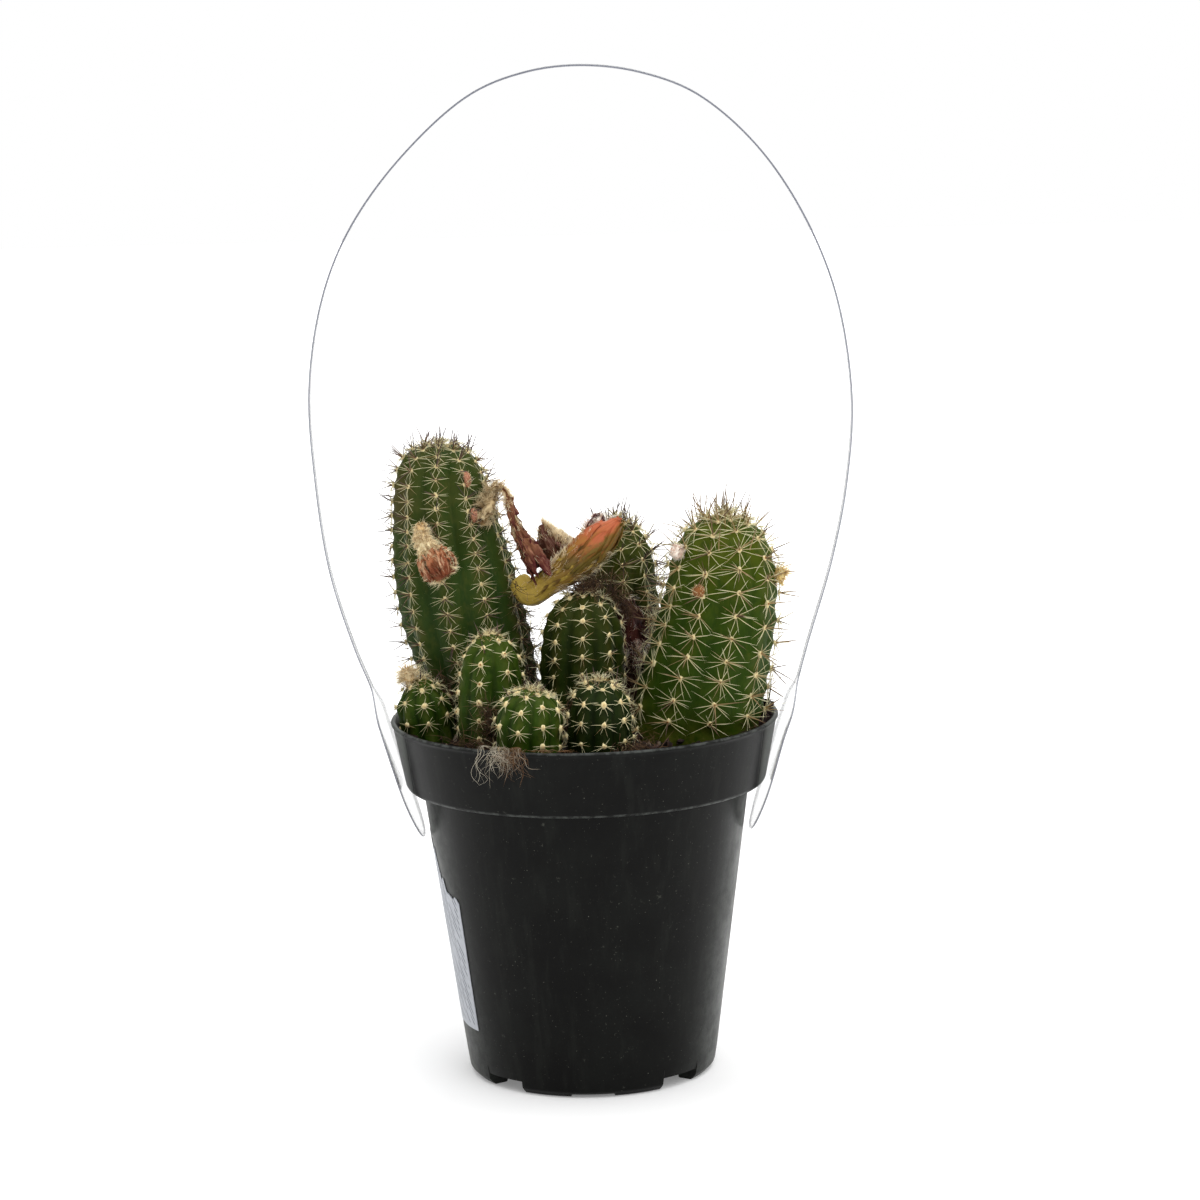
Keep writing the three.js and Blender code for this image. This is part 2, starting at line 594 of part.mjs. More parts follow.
// A bud, bloom or wool tuft round its path
function bloomGeometry({ bloom, path }) {
  const draw = drawsFrom(bloom.seed);
  const rings = [];
  const frames = [];
  for (let row = 0; row < bloom.rows; row++) {
    const along = row / (bloom.rows - 1);
    const middle = path.getPointAt(along);
    const tangent = path.getTangentAt(along);
    const side = vector(0, 1, 0).addScaledVector(tangent, -tangent.y).normalize();
    const other = tangent.clone().cross(side);
    const radius = valueAt(bloom.radius, along);
    const ring = [];
    for (let c = 0; c < bloom.sides; c++) {
      const angle = TURN * c / bloom.sides + radians(bloom.twist) * along;
      const fold = 1 + bloom.foldDepth * Math.cos(bloom.folds * TURN * c / bloom.sides);
      const wobble = 1 + 0.06 * (draw() - 0.5);
      ring.push(middle.clone().addScaledVector(side, Math.cos(angle) * radius * fold * wobble)
        .addScaledVector(other, Math.sin(angle) * radius * fold * wobble));
    }
    rings.push(ring);
    frames.push({ middle, tangent });
  }
  const raised = new Map();
  const spikedRows = bloom.openEnd ? bloom.rows - 2 : bloom.rows - 1;
  for (let row = 0; row < spikedRows; row++) {
    for (let c = row % bloom.spikes.every; c < bloom.sides; c += bloom.spikes.every) {
      const next = (c + 1) % bloom.sides;
      const corners = [rings[row][c], rings[row][next], rings[row + 1][next], rings[row + 1][c]];
      const middle = middleOf(corners);
      const outward = middle.clone().sub(frames[row].middle).normalize();
      const direction = outward.multiplyScalar(1 - bloom.spikes.lean)
        .addScaledVector(frames[row].tangent, bloom.spikes.lean).normalize();
      direction.add(outward.multiplyScalar(0.5)).normalize();
      const tall = bloom.spikes.length * (0.7 + 0.3 * draw());
      raised.set(`${row},${c}`, { middle: middle.addScaledVector(direction, tall) });
    }
  }
  const pointed = bloom.openEnd ? 0 : 0.4;
  const last = path.getPointAt(1).addScaledVector(frames[bloom.rows - 1].tangent, pointed);
  return closedSkin(rings, path.getPointAt(0), last, raised);
}

// A box standing on the table, turned round the pot's middle, for cutting the foot ring
function footCutter(angle, widthDegrees, height) {
  const width = 2 * footRadius * Math.sin(radians(widthDegrees / 2));
  const cutter = new THREE.BoxGeometry(width, 14, 2 * height);
  cutter.translate(0, -footRadius, 0);
  cutter.rotateZ(radians(angle));
  return toSolid(cutter);
}

function makePot() {
  const outline = [
    [0, footHeight + 0.5], [footInnerRadius - 0.6, footHeight + 0.5], [footInnerRadius, 0],
    [footRadius, 0], [wallFootRadius - 0.4, 1.6], [wallFootRadius + 0.3, 6],
    [wallTopRadius, bandBottomZ + 0.4], [bandBottomRadius - 0.5, bandBottomZ + 0.4],
    [bandBottomRadius, bandBottomZ + 1.2], [rimRadius - 0.6, potHeight - 1.4],
    [rimRadius, potHeight - 0.6], [rimRadius - 0.5, potHeight], [rimRadius - wall, potHeight],
    [rimRadius - 0.8 - wall, potHeight - 1.4], [bandBottomRadius - wall, bandBottomZ + 2.4],
    [wallTopRadius - wall, bandBottomZ + 1.4], [wallFootRadius + 0.3 - wall, floorTopZ + 2],
    [wallFootRadius - 1.6 - wall, floorTopZ], [0, floorTopZ],
  ];
  const lathe = new THREE.LatheGeometry(outline.map(([r, z]) => new THREE.Vector2(r, z)), potSides);
  lathe.rotateX(Math.PI / 2);
  let solid = toSolid(lathe);
  for (let quarter = 0; quarter < 4; quarter++) {
    const turn = quarter * 90;
    solid = solid.subtract(footCutter(turn + notchAngle - 3.5, notchWidth, footHeight));
    solid = solid.subtract(footCutter(turn, notchWidth, recessHeight));
    const hole = new THREE.CylinderGeometry(drainHoleRadius, drainHoleRadius, 12, 12);
    hole.rotateX(Math.PI / 2);
    hole.translate(0, -drainHoleCircle, floorTopZ);
    hole.rotateZ(radians(turn + 45));
    solid = solid.subtract(toSolid(hole));
  }
  addPiece('pot', fromSolid(solid), colours.pot, 0.38);
}

// The plain hole that a stem's foot stands in
function stemHole(shape) {
  const sides = 16;
  const heights = [-gap, 0, 4, 8, 12];
  const rings = heights.map((h) => {
    const frame = shape.frameAt(Math.max(h, 0));
    const middle = frame.middle.clone().addScaledVector(frame.tangent, Math.min(h, 0));
    const crest = valueAt(shape.stem.profile, Math.max(h, 0)) + padLift;
    const radius = (crest + gap) / Math.cos(Math.PI / sides);
    const ring = [];
    for (let c = 0; c < sides; c++) {
      ring.push(middle.clone().addScaledVector(shape.outwardAt(frame, TURN * c / sides), radius));
    }
    return ring;
  });
  const ends = [heights[0], heights[heights.length - 1]].map((h) => {
    const frame = shape.frameAt(Math.max(h, 0));
    return frame.middle.clone().addScaledVector(frame.tangent, Math.min(h, 0));
  });
  return toSolid(closedSkin(rings, ends[0], ends[1]));
}

function makeSoil() {
  const draw = drawsFrom(101);
  const bandTop = [potHeight - 1.4, rimRadius - 0.8 - wall];
  const bandFoot = [bandBottomZ + 2.4, bandBottomRadius - wall];
  const edgeZ = soilTopZ - 1;
  const side = [
    [wallFootRadius - 2.2 - wall, floorTopZ + gap],
    [wallFootRadius + 0.3 - wall - gap, floorTopZ + 2.6],
    [wallTopRadius - wall - gap, bandBottomZ + 1.4 + gap],
    [bandBottomRadius - wall - gap - 0.1, bandBottomZ + 2.6],
    [valueAt([bandFoot, bandTop], edgeZ) - gap - 0.1, edgeZ],
  ];
  const edge = side[side.length - 1][0];
  const tops = [0.94, 0.86, 0.76, 0.64, 0.5, 0.34, 0.17];
  const profile = [...side, ...tops.map((part) => [part * edge, soilTopZ])];
  const rings = profile.map(([r, z]) => {
    const ring = [];
    for (let c = 0; c < soilSides; c++) {
      const angle = TURN * c / soilSides;
      const lift = z === soilTopZ ? (draw() * 2 - 1) * soilBump : 0;
      ring.push(vector(r * Math.cos(angle), r * Math.sin(angle), z + lift));
    }
    return ring;
  });
  let solid = toSolid(closedSkin(rings, vector(0, 0, floorTopZ + gap), vector(0, 0, soilTopZ)));
  for (const shape of shapes) solid = solid.subtract(stemHole(shape));
  const pieces = solid.decompose();
  const largest = pieces.reduce((a, b) => (a.volume() > b.volume() ? a : b));
  addPiece('soil', fromSolid(largest), colours.soil, 0.95);
}

// The film's path, from the tip under the rim on the left, over the top, to the right tip
const handlePath = [
  [-42.9, 63.4], [-47.95, 77.6], [-51.5, 89.5], [-55.4, 103], [-59.4, 113.5], [-65.4, 134.5],
  [-68.4, 158.5], [-69.1, 182.8], [-64.9, 206.2], [-57.4, 223.5], [-43.8, 241.4], [-25.4, 257.2],
  [-10.6, 262.7], [3.6, handleTopZ], [18.6, 261.8], [33.4, 255.6], [51.0, 238.5], [65.8, 209.8],
  [71.2, 179], [69.7, 155.5], [65.4, 134.4], [59.0, 113.4], [55.0, 99.6], [51.5, 89.5],
  [47.95, 77.6], [42.9, 63.4],
];

function halfWidthAt(fromEnd) {
  const round = paddleWidth / 2;
  if (fromEnd < round) return Math.sqrt(Math.max(round ** 2 - (round - fromEnd) ** 2, 4));
  const narrowing = THREE.MathUtils.smoothstep(fromEnd, paddleLength, paddleLength + shoulderLength);
  return THREE.MathUtils.lerp(round, strapWidth / 2, narrowing);
}

function makeHandle() {
  const points = handlePath.map(([x, z]) => vector(x, 0, z));
  const path = new THREE.CatmullRomCurve3(points, false, 'centripetal');
  const length = path.getLength();
  const distances = [];
  for (const d of [0.2, 2, 5, 9, 14, 20, 27, 34, 38.5, 43]) distances.push(d, length - d);
  for (let i = 1; i < handleSteps; i++) {
    const d = 43 + (length - 86) * i / handleSteps;
    distances.push(d);
  }
  distances.sort((a, b) => a - b);
  const rings = distances.map((d) => {
    const middle = path.getPointAt(d / length);
    const tangent = path.getTangentAt(d / length);
    const across = vector(0, 1, 0);
    const outward = tangent.clone().cross(across);
    const half = halfWidthAt(Math.min(d, length - d));
    const corner = (w, t) => middle.clone().addScaledVector(across, w * half)
      .addScaledVector(outward, t * filmThickness / 2);
    return [corner(1, 1), corner(-1, 1), corner(-1, -1), corner(1, -1)];
  });
  const skin = closedSkin(rings, middleOf(rings[0]), middleOf(rings[rings.length - 1]));
  addPiece('handle', skin, colours.film, 0.12);
}

function wallRadiusAt(z) {
  const climb = (z - 6) / (bandBottomZ + 0.4 - 6);
  return THREE.MathUtils.lerp(wallFootRadius + 0.3, wallTopRadius, climb);
}

// The sticker follows the wall; its upper edge is torn up towards the left
function makeLabel() {
  const columns = 12;
  const rings = [];
  for (let i = 0; i <= columns; i++) {
    const angle = radians(THREE.MathUtils.lerp(labelFromAngle, labelToAngle, i / columns));
    const torn = valueAt(tornEdge, i / columns);
    const topZ = THREE.MathUtils.lerp(labelTopZ, labelTornZ, torn);
    const corner = (z, stand) => {
      return around(angle, wallRadiusAt(z) + gap + stand, z);
    };
    rings.push([corner(labelBottomZ, 0), corner(topZ, 0), corner(topZ, labelThickness),
      corner(labelBottomZ, labelThickness)]);
  }
  addPiece('label', closedSkin(rings, middleOf(rings[0]), middleOf(rings[columns])), colours.label, 0.6);
}

// Dry root hairs: strands from one clump on the soil, over the rim and down its outside
function makeRootHairs() {
  const strands = 7;
  const draw = drawsFrom(202);
  const half = 0.32;
  const section = new THREE.Shape([[-half, -half], [half, -half], [half, half], [-half, half]]
    .map(([x, y]) => new THREE.Vector2(x, y)));
  let solid = null;
  for (let i = 0; i < strands; i++) {
    const angle = radians(-26 + 12 * i / (strands - 1) + (draw() - 0.5) * 2);
    const drop = 4 + 5 * draw();
    const drift = radians((draw() - 0.5) * 3);
    const place = (radius, z, turn) => around(angle + turn, radius, z);
    const path = new THREE.CatmullRomCurve3([
      place(45.9, 92.9, 0), place(47.3, 94.5, 0), place(49.2, potHeight + 0.9, 0),
      place(51.2, potHeight + 0.7, drift * 0.3), place(52.0, potHeight - 2.2, drift * 0.6),
      place(51.6, potHeight - drop, drift),
    ]);
    const strand = toSolid(new THREE.ExtrudeGeometry(section, { steps: 6, extrudePath: path }));
    solid = solid ? solid.add(strand) : strand;
  }
  const clump = new THREE.IcosahedronGeometry(1, 1);
  clump.scale(6.0, 1.2, 0.8);
  clump.rotateZ(radians(-20));
  clump.translate(...around(radians(-20), rootClumpCircle, rootClumpZ));
  addPiece('root_hairs', fromSolid(solid.add(toSolid(clump))), colours.root, 0.9);
}

makePot();
makeSoil();
for (const shape of shapes) {
  addPiece(shape.stem.name, stemGeometry(shape), shape.stem.colour, 0.55);
}
for (const shape of bloomShapes) {
  addPiece(shape.bloom.name, bloomGeometry(shape), shape.bloom.colour, 0.8);
}
makeRootHairs();
makeLabel();
makeHandle();

export default potted;
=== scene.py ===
# A potted cluster of ribbed, spined cacti in a round nursery pot with a clear carry handle.
# Metres, +Z up, the viewer's side is -Y. Tables and shapes are in millimetres and turned to
# metres as a piece is made.
import math

import bpy
import numpy as np
from mathutils import Matrix, Vector, noise


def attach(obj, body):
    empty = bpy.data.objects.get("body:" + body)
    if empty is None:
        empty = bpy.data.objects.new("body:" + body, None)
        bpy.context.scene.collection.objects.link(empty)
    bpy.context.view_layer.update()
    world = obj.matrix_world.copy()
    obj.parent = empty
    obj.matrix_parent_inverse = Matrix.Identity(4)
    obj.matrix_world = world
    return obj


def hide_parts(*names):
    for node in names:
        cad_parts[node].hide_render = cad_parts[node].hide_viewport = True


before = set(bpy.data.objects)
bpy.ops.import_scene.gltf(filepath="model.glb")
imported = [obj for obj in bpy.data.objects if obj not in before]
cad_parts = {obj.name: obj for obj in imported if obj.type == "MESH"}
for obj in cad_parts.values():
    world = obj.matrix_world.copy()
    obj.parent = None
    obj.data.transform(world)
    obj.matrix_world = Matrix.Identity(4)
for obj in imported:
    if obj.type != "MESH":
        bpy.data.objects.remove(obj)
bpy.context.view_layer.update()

MM = 0.001

# Pot
pot_height = 95.0
rim_radius = 51.0
band_bottom_z = 77.0
band_bottom_radius = 47.4
wall_top_radius = 43.0
wall_foot_radius = 33.0
foot_radius = 31.0
foot_inner_radius = 27.2
foot_height = 3.3
recess_height = 0.7
wall = 1.2
floor_top_z = 5.4
notch_angle = 45.0
notch_width = 21.5
drain_hole_radius = 3.5
drain_hole_circle = 20.0
soil_top_z = 91.0

# Handle
film_thickness = 0.45
strap_width = 5.0
paddle_width = 30.0
paddle_length = 34.0
shoulder_length = 9.0
handle_path = [
    (-42.9, 63.4), (-47.95, 77.6), (-51.5, 89.5), (-55.4, 103), (-59.4, 113.5), (-65.4, 134.5),
    (-68.4, 158.5), (-69.1, 182.8), (-64.9, 206.2), (-57.4, 223.5), (-43.8, 241.4),
    (-25.4, 257.2), (-10.6, 262.7), (3.6, 264), (18.6, 261.8), (33.4, 255.6), (51.0, 238.5),
    (65.8, 209.8), (71.2, 179), (69.7, 155.5), (65.4, 134.4), (59.0, 113.4), (55.0, 99.6),
    (51.5, 89.5), (47.95, 77.6), (42.9, 63.4),
]

# Label
label_from_angle = -128.0
label_to_angle = -59.0
label_bottom_z = 14.6
label_top_z = 49.6
label_torn_z = 64.0
torn_edge = [(0, 1), (0.62, 1), (0.7, 0.85), (0.77, 0.45), (0.86, 0.1), (1, 0)]

# Root hairs over the front rim
root_clump_circle = 46.0
root_clump_z = 93.1
root_clump_angle = -23.4


# Vectors and curves
def unit(vectors):
    lengths = np.linalg.norm(vectors, axis=-1, keepdims=True)
    return vectors / np.maximum(lengths, 1e-9)


def around(degrees, radius, z):
    """A point round the pot's middle; 0 faces the viewer, + is to the right."""
    a = np.radians(degrees)
    return np.stack(np.broadcast_arrays(radius * np.sin(a), -radius * np.cos(a), z), axis=-1)


def value_at(pairs, position):
    return np.interp(position, [p[0] for p in pairs], [p[1] for p in pairs])


def smoothstep(x, low, high):
    t = np.clip((x - low) / (high - low), 0, 1)
    return t * t * (3 - 2 * t)


class Path:
    """A smooth curve through points, walked by distance from its start."""

    def __init__(self, points, per_span=24):
        knots = np.array(points, float)
        knots = np.vstack([2 * knots[0] - knots[1], knots, 2 * knots[-1] - knots[-2]])
        t = np.linspace(0, 1, per_span, endpoint=False)[:, None]
        spans = []
        for p0, p1, p2, p3 in zip(knots, knots[1:], knots[2:], knots[3:]):
            d0, d1, d2 = (max(np.linalg.norm(b - a), 1e-6) ** 0.5 for a, b in ((p0, p1), (p1, p2), (p2, p3)))
            m1 = ((p1 - p0) / d0 - (p2 - p0) / (d0 + d1) + (p2 - p1) / d1) * d1
            m2 = ((p2 - p1) / d1 - (p3 - p1) / (d1 + d2) + (p3 - p2) / d2) * d1
            spans.append((2 * t**3 - 3 * t**2 + 1) * p1 + (t**3 - 2 * t**2 + t) * m1
                         + (3 * t**2 - 2 * t**3) * p2 + (t**3 - t**2) * m2)
        self.points = np.vstack([*spans, knots[-2]])
        steps = np.linalg.norm(np.diff(self.points, axis=0), axis=1)
        self.places = np.concatenate([[0], np.cumsum(steps)])
        self.length = self.places[-1]

    def at(self, distance):
        return np.stack([np.interp(distance, self.places, c) for c in self.points.T], axis=-1)

    def heading(self, distance):
        step = self.length * 2e-3
        return unit(self.at(np.asarray(distance) + step) - self.at(np.asarray(distance) - step))


def cross_axes(heading):
    """Two directions square to a heading: one towards +Y, one to its side."""
    back = np.zeros_like(heading)
    back[..., 1] = 1
    back = unit(back - heading * heading[..., 1:2])
    return back, np.cross(heading, back)


def wobble(points, scale, seed):
    """Smooth noise from about -1 to 1 at each point; scale is the size of its lumps."""
    offset = Vector((seed * 7.31, seed * 3.17, seed * 5.77))
    flat = np.asarray(points, float).reshape(-1, 3) / scale
    values = [noise.noise(Vector(p) + offset) for p in flat]
    return np.array(values).reshape(np.shape(points)[:-1]) * 1.6


# Meshes
class Gather:
    """Points in millimetres, faces and values per point, gathered for one piece."""

    def __init__(self):
        self.points, self.faces, self.values, self.count = [], [], {}, 0

    def add(self, points, faces, **values):
        points = np.asarray(points, float).reshape(-1, 3)
        self.points.append(points)
        for name in set(values) | set(self.values):
            filled = self.values.setdefault(name, [np.zeros(self.count)])
            filled.append(np.broadcast_to(values.get(name, 0.0), (len(points),)).astype(float))
        for group in faces:
            if len(group):
                self.faces.append(np.asarray(group) + self.count)
        self.count += len(points)


def make_piece(name, gathered, material, replaced=None, sharp_angle=None):
    """One finished piece from gathered points and faces, riding on the root body."""
    mesh = bpy.data.meshes.new(name)
    points = np.concatenate(gathered.points) * MM
    corners = np.concatenate([f.ravel() for f in gathered.faces])
    sizes = np.concatenate([np.full(len(f), f.shape[1]) for f in gathered.faces])
    mesh.vertices.add(len(points))
    mesh.vertices.foreach_set("co", points.astype(np.float32).ravel())
    mesh.loops.add(len(corners))
    mesh.loops.foreach_set("vertex_index", corners.astype(np.int32))
    mesh.polygons.add(len(sizes))
    mesh.polygons.foreach_set("loop_start", (np.cumsum(sizes) - sizes).astype(np.int32))
    for value_name, parts in gathered.values.items():
        layer = mesh.attributes.new(value_name, "FLOAT", "POINT")
        layer.data.foreach_set("value", np.concatenate(parts).astype(np.float32))
    mesh.update(calc_edges=True)
    mesh.validate()
    mesh.shade_smooth()
    if sharp_angle is not None:
        mesh.set_sharp_from_angle(angle=math.radians(sharp_angle))
    mesh.materials.append(material)
    piece = bpy.data.objects.new(name, mesh)
    bpy.context.scene.collection.objects.link(piece)
    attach(piece, "root")
    if replaced:
        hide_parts(replaced)
    return piece


def grid_faces(rows, columns, closed=True, start=0):
    """Quads over rows of points, each row counterclockwise seen from the last row."""
    r, c = np.meshgrid(np.arange(rows - 1), np.arange(columns if closed else columns - 1), indexing="ij")
    r, c = r.ravel(), c.ravel()
    n = (c + 1) % columns
    return start + np.stack([r * columns + c, r * columns + n, (r + 1) * columns + n, (r + 1) * columns + c], axis=1)


def add_skin(out, rings, first, last, **values):
    """A closed skin over rings of points, with a middle point at either end."""
    rows, columns, _ = rings.shape
    points = np.vstack([rings.reshape(-1, 3), first, last])
    c = np.arange(columns)
    n = (c + 1) % columns
    low, high = rows * columns, rows * columns + 1
    top = (rows - 1) * columns
    caps = np.concatenate([np.stack([n, c, np.full(columns, low)], axis=1),
                           np.stack([top + c, top + n, np.full(columns, high)], axis=1)])
    spread = {}
    for name, value in values.items():
        value = np.broadcast_to(value, (rows, columns))
        spread[name] = np.concatenate([value.ravel(), [value[0].mean(), value[-1].mean()]])
    out.add(points, [grid_faces(rows, columns), caps], **spread)


def add_strands(out, paths, radii, tone, sides=4, end=0.25):
    """Thin pointed strands. paths: strand, point, xyz. radii: one number a strand at its root."""
    count, steps, _ = paths.shape
    taper = np.linspace(1, end, steps)[:-1]
    ahead = unit(np.gradient(paths, axis=1))
    chord = paths[:, -1] - paths[:, 0]
    helper = np.eye(3)[np.argmin(np.abs(chord), axis=1)][:, None]
    side = unit(np.cross(ahead, helper))
    other = np.cross(ahead, side)
    turn = 2 * np.pi * np.arange(sides) / sides
    ring = side[:, :-1, None] * np.cos(turn)[:, None] + other[:, :-1, None] * np.sin(turn)[:, None]
    rings = paths[:, :-1, None] + ring * (radii[:, None] * taper)[:, :, None, None]
    per = (steps - 1) * sides + 1
    points = np.concatenate([rings.reshape(count, -1, 3), paths[:, -1:]], axis=1)
    base = (np.arange(count) * per)[:, None, None]
    quads = (base + grid_faces(steps - 1, sides)[None]).reshape(-1, 4)
    c = np.arange(sides)
    tip = np.stack([(steps - 2) * sides + c, (steps - 2) * sides + (c + 1) % sides, np.full(sides, per - 1)], axis=1)
    tips = (base + tip[None]).reshape(-1, 3)
    foot = (base[:, 0] + c[::-1][None])
    along = np.concatenate([np.repeat(np.linspace(0, 1, steps)[:-1], sides), [1.0]])
    out.add(points, [quads, tips, foot], along=np.tile(along, count), tone=np.repeat(tone, per))


def curled(roots, headings, lengths, draw, steps=5, curl=0.35, drop=0.0, owner=None):
    """Paths of soft hairs that set off along their heading and curl as they go, alike within an owner."""
    count = len(roots)
    t = np.linspace(0, 1, steps)[None, :, None]
    first, second = (draw.normal(size=(count, 3)) for _ in range(2))
    if owner is not None:
        first, second = (way[owner] + 0.3 * way for way in (first, second))
    reach = lengths[:, None, None]
    paths = roots[:, None] + headings[:, None] * reach * t
    paths = paths + curl * reach * (first[:, None] * t**2 * 0.5 + second[:, None] * np.sin(2.6 * np.pi * t) * t * 0.22)
    paths[..., 2] -= (drop * reach * t**2)[..., 0]
    return paths


def add_blade(out, middles, sides, normals, half_widths, cup, thickness, across=4, **values):
    """A thin closed petal or scale. Rows of points along its middle, its side and its face."""
    rows = len(middles)
    v = np.linspace(-1, 1, across + 1)
    width = half_widths[:, None, None] * v[None, :, None]
    face = middles[:, None] + sides[:, None] * width + normals[:, None] * (cup * half_widths[:, None] * v[None, :] ** 2)[..., None]
    lift = normals[:, None] * thickness * 0.5 * np.sqrt(np.maximum(1.02 - v**2, 0.02))[None, :, None]
    section = np.concatenate([face + lift, (face - lift)[:, ::-1]], axis=1)
    columns = section.shape[1]
    t = np.linspace(0, 1, rows)[:, None]
    add_skin(out, section[:, ::-1], section[0].mean(axis=0), section[-1].mean(axis=0),
             along=np.broadcast_to(t, (rows, columns)), **values)


# Materials
def srgb(*colour):
    linear = [c / 255 / 12.92 if c <= 10 else ((c / 255 + 0.055) / 1.055) ** 2.4 for c in colour]
    return (*linear, 1.0)


class Finish:
    """A material's nodes, joined by short calls."""

    def __init__(self, name, **inputs):
        self.material = bpy.data.materials.new(name)
        self.material.use_nodes = True
        self.tree = self.material.node_tree
        self.shader = self.tree.nodes["Principled BSDF"]
        self.set(self.shader, inputs)
        self.place = self.node("ShaderNodeTexCoord").outputs["Object"]

    def set(self, node, inputs):
        for key, value in inputs.items():
            socket = node.inputs[key]
            if isinstance(value, bpy.types.NodeSocket):
                self.tree.links.new(value, socket)
            else:
                socket.default_value = value

    def node(self, kind, inputs=None, **settings):
        node = self.tree.nodes.new(kind)
        for key, value in settings.items():
            setattr(node, key, value)
        self.set(node, inputs or {})
        return node

    def value(self, name):
        return self.node("ShaderNodeAttribute", attribute_name=name).outputs["Fac"]

    def noise(self, size, detail=3.0, roughness=0.55, place=None, distortion=0.0):
        """Noise with lumps of a size in millimetres."""
        return self.node("ShaderNodeTexNoise", {
            "Vector": place or self.place, "Scale": 1 / (size * MM), "Detail": detail,
            "Roughness": roughness, "Distortion": distortion}).outputs["Fac"]

    def stretched(self, x, y, z):
        return self.node("ShaderNodeMapping", {"Vector": self.place, "Scale": (x, y, z)}).outputs["Vector"]

    def math(self, operation, a, b=0.0, clamp=False):
        return self.node("ShaderNodeMath", {0: a, 1: b}, operation=operation, use_clamp=clamp).outputs[0]

    def remap(self, value, low, high, to_low=0.0, to_high=1.0):
        return self.node("ShaderNodeMapRange", {
            "Value": value, "From Min": low, "From Max": high, "To Min": to_low, "To Max": to_high},
            interpolation_type="SMOOTHSTEP").outputs["Result"]

    def mix(self, factor, a, b):
        return self.node("ShaderNodeMix", {0: factor, 6: a, 7: b}, data_type="RGBA").outputs[2]

    def bump(self, height, depth, strength=1.0, normal=None):
        """A bump of a depth in millimetres."""
        inputs = {"Height": height, "Distance": depth * MM, "Strength": strength}
        if normal:
            inputs["Normal"] = normal
        return self.node("ShaderNodeBump", inputs).outputs["Normal"]

    def finish(self, **outputs):
        names = {"colour": "Base Color", "roughness": "Roughness", "normal": "Normal", "alpha": "Alpha"}
        self.set(self.shader, {names[key]: value for key, value in outputs.items()})
        return self.material


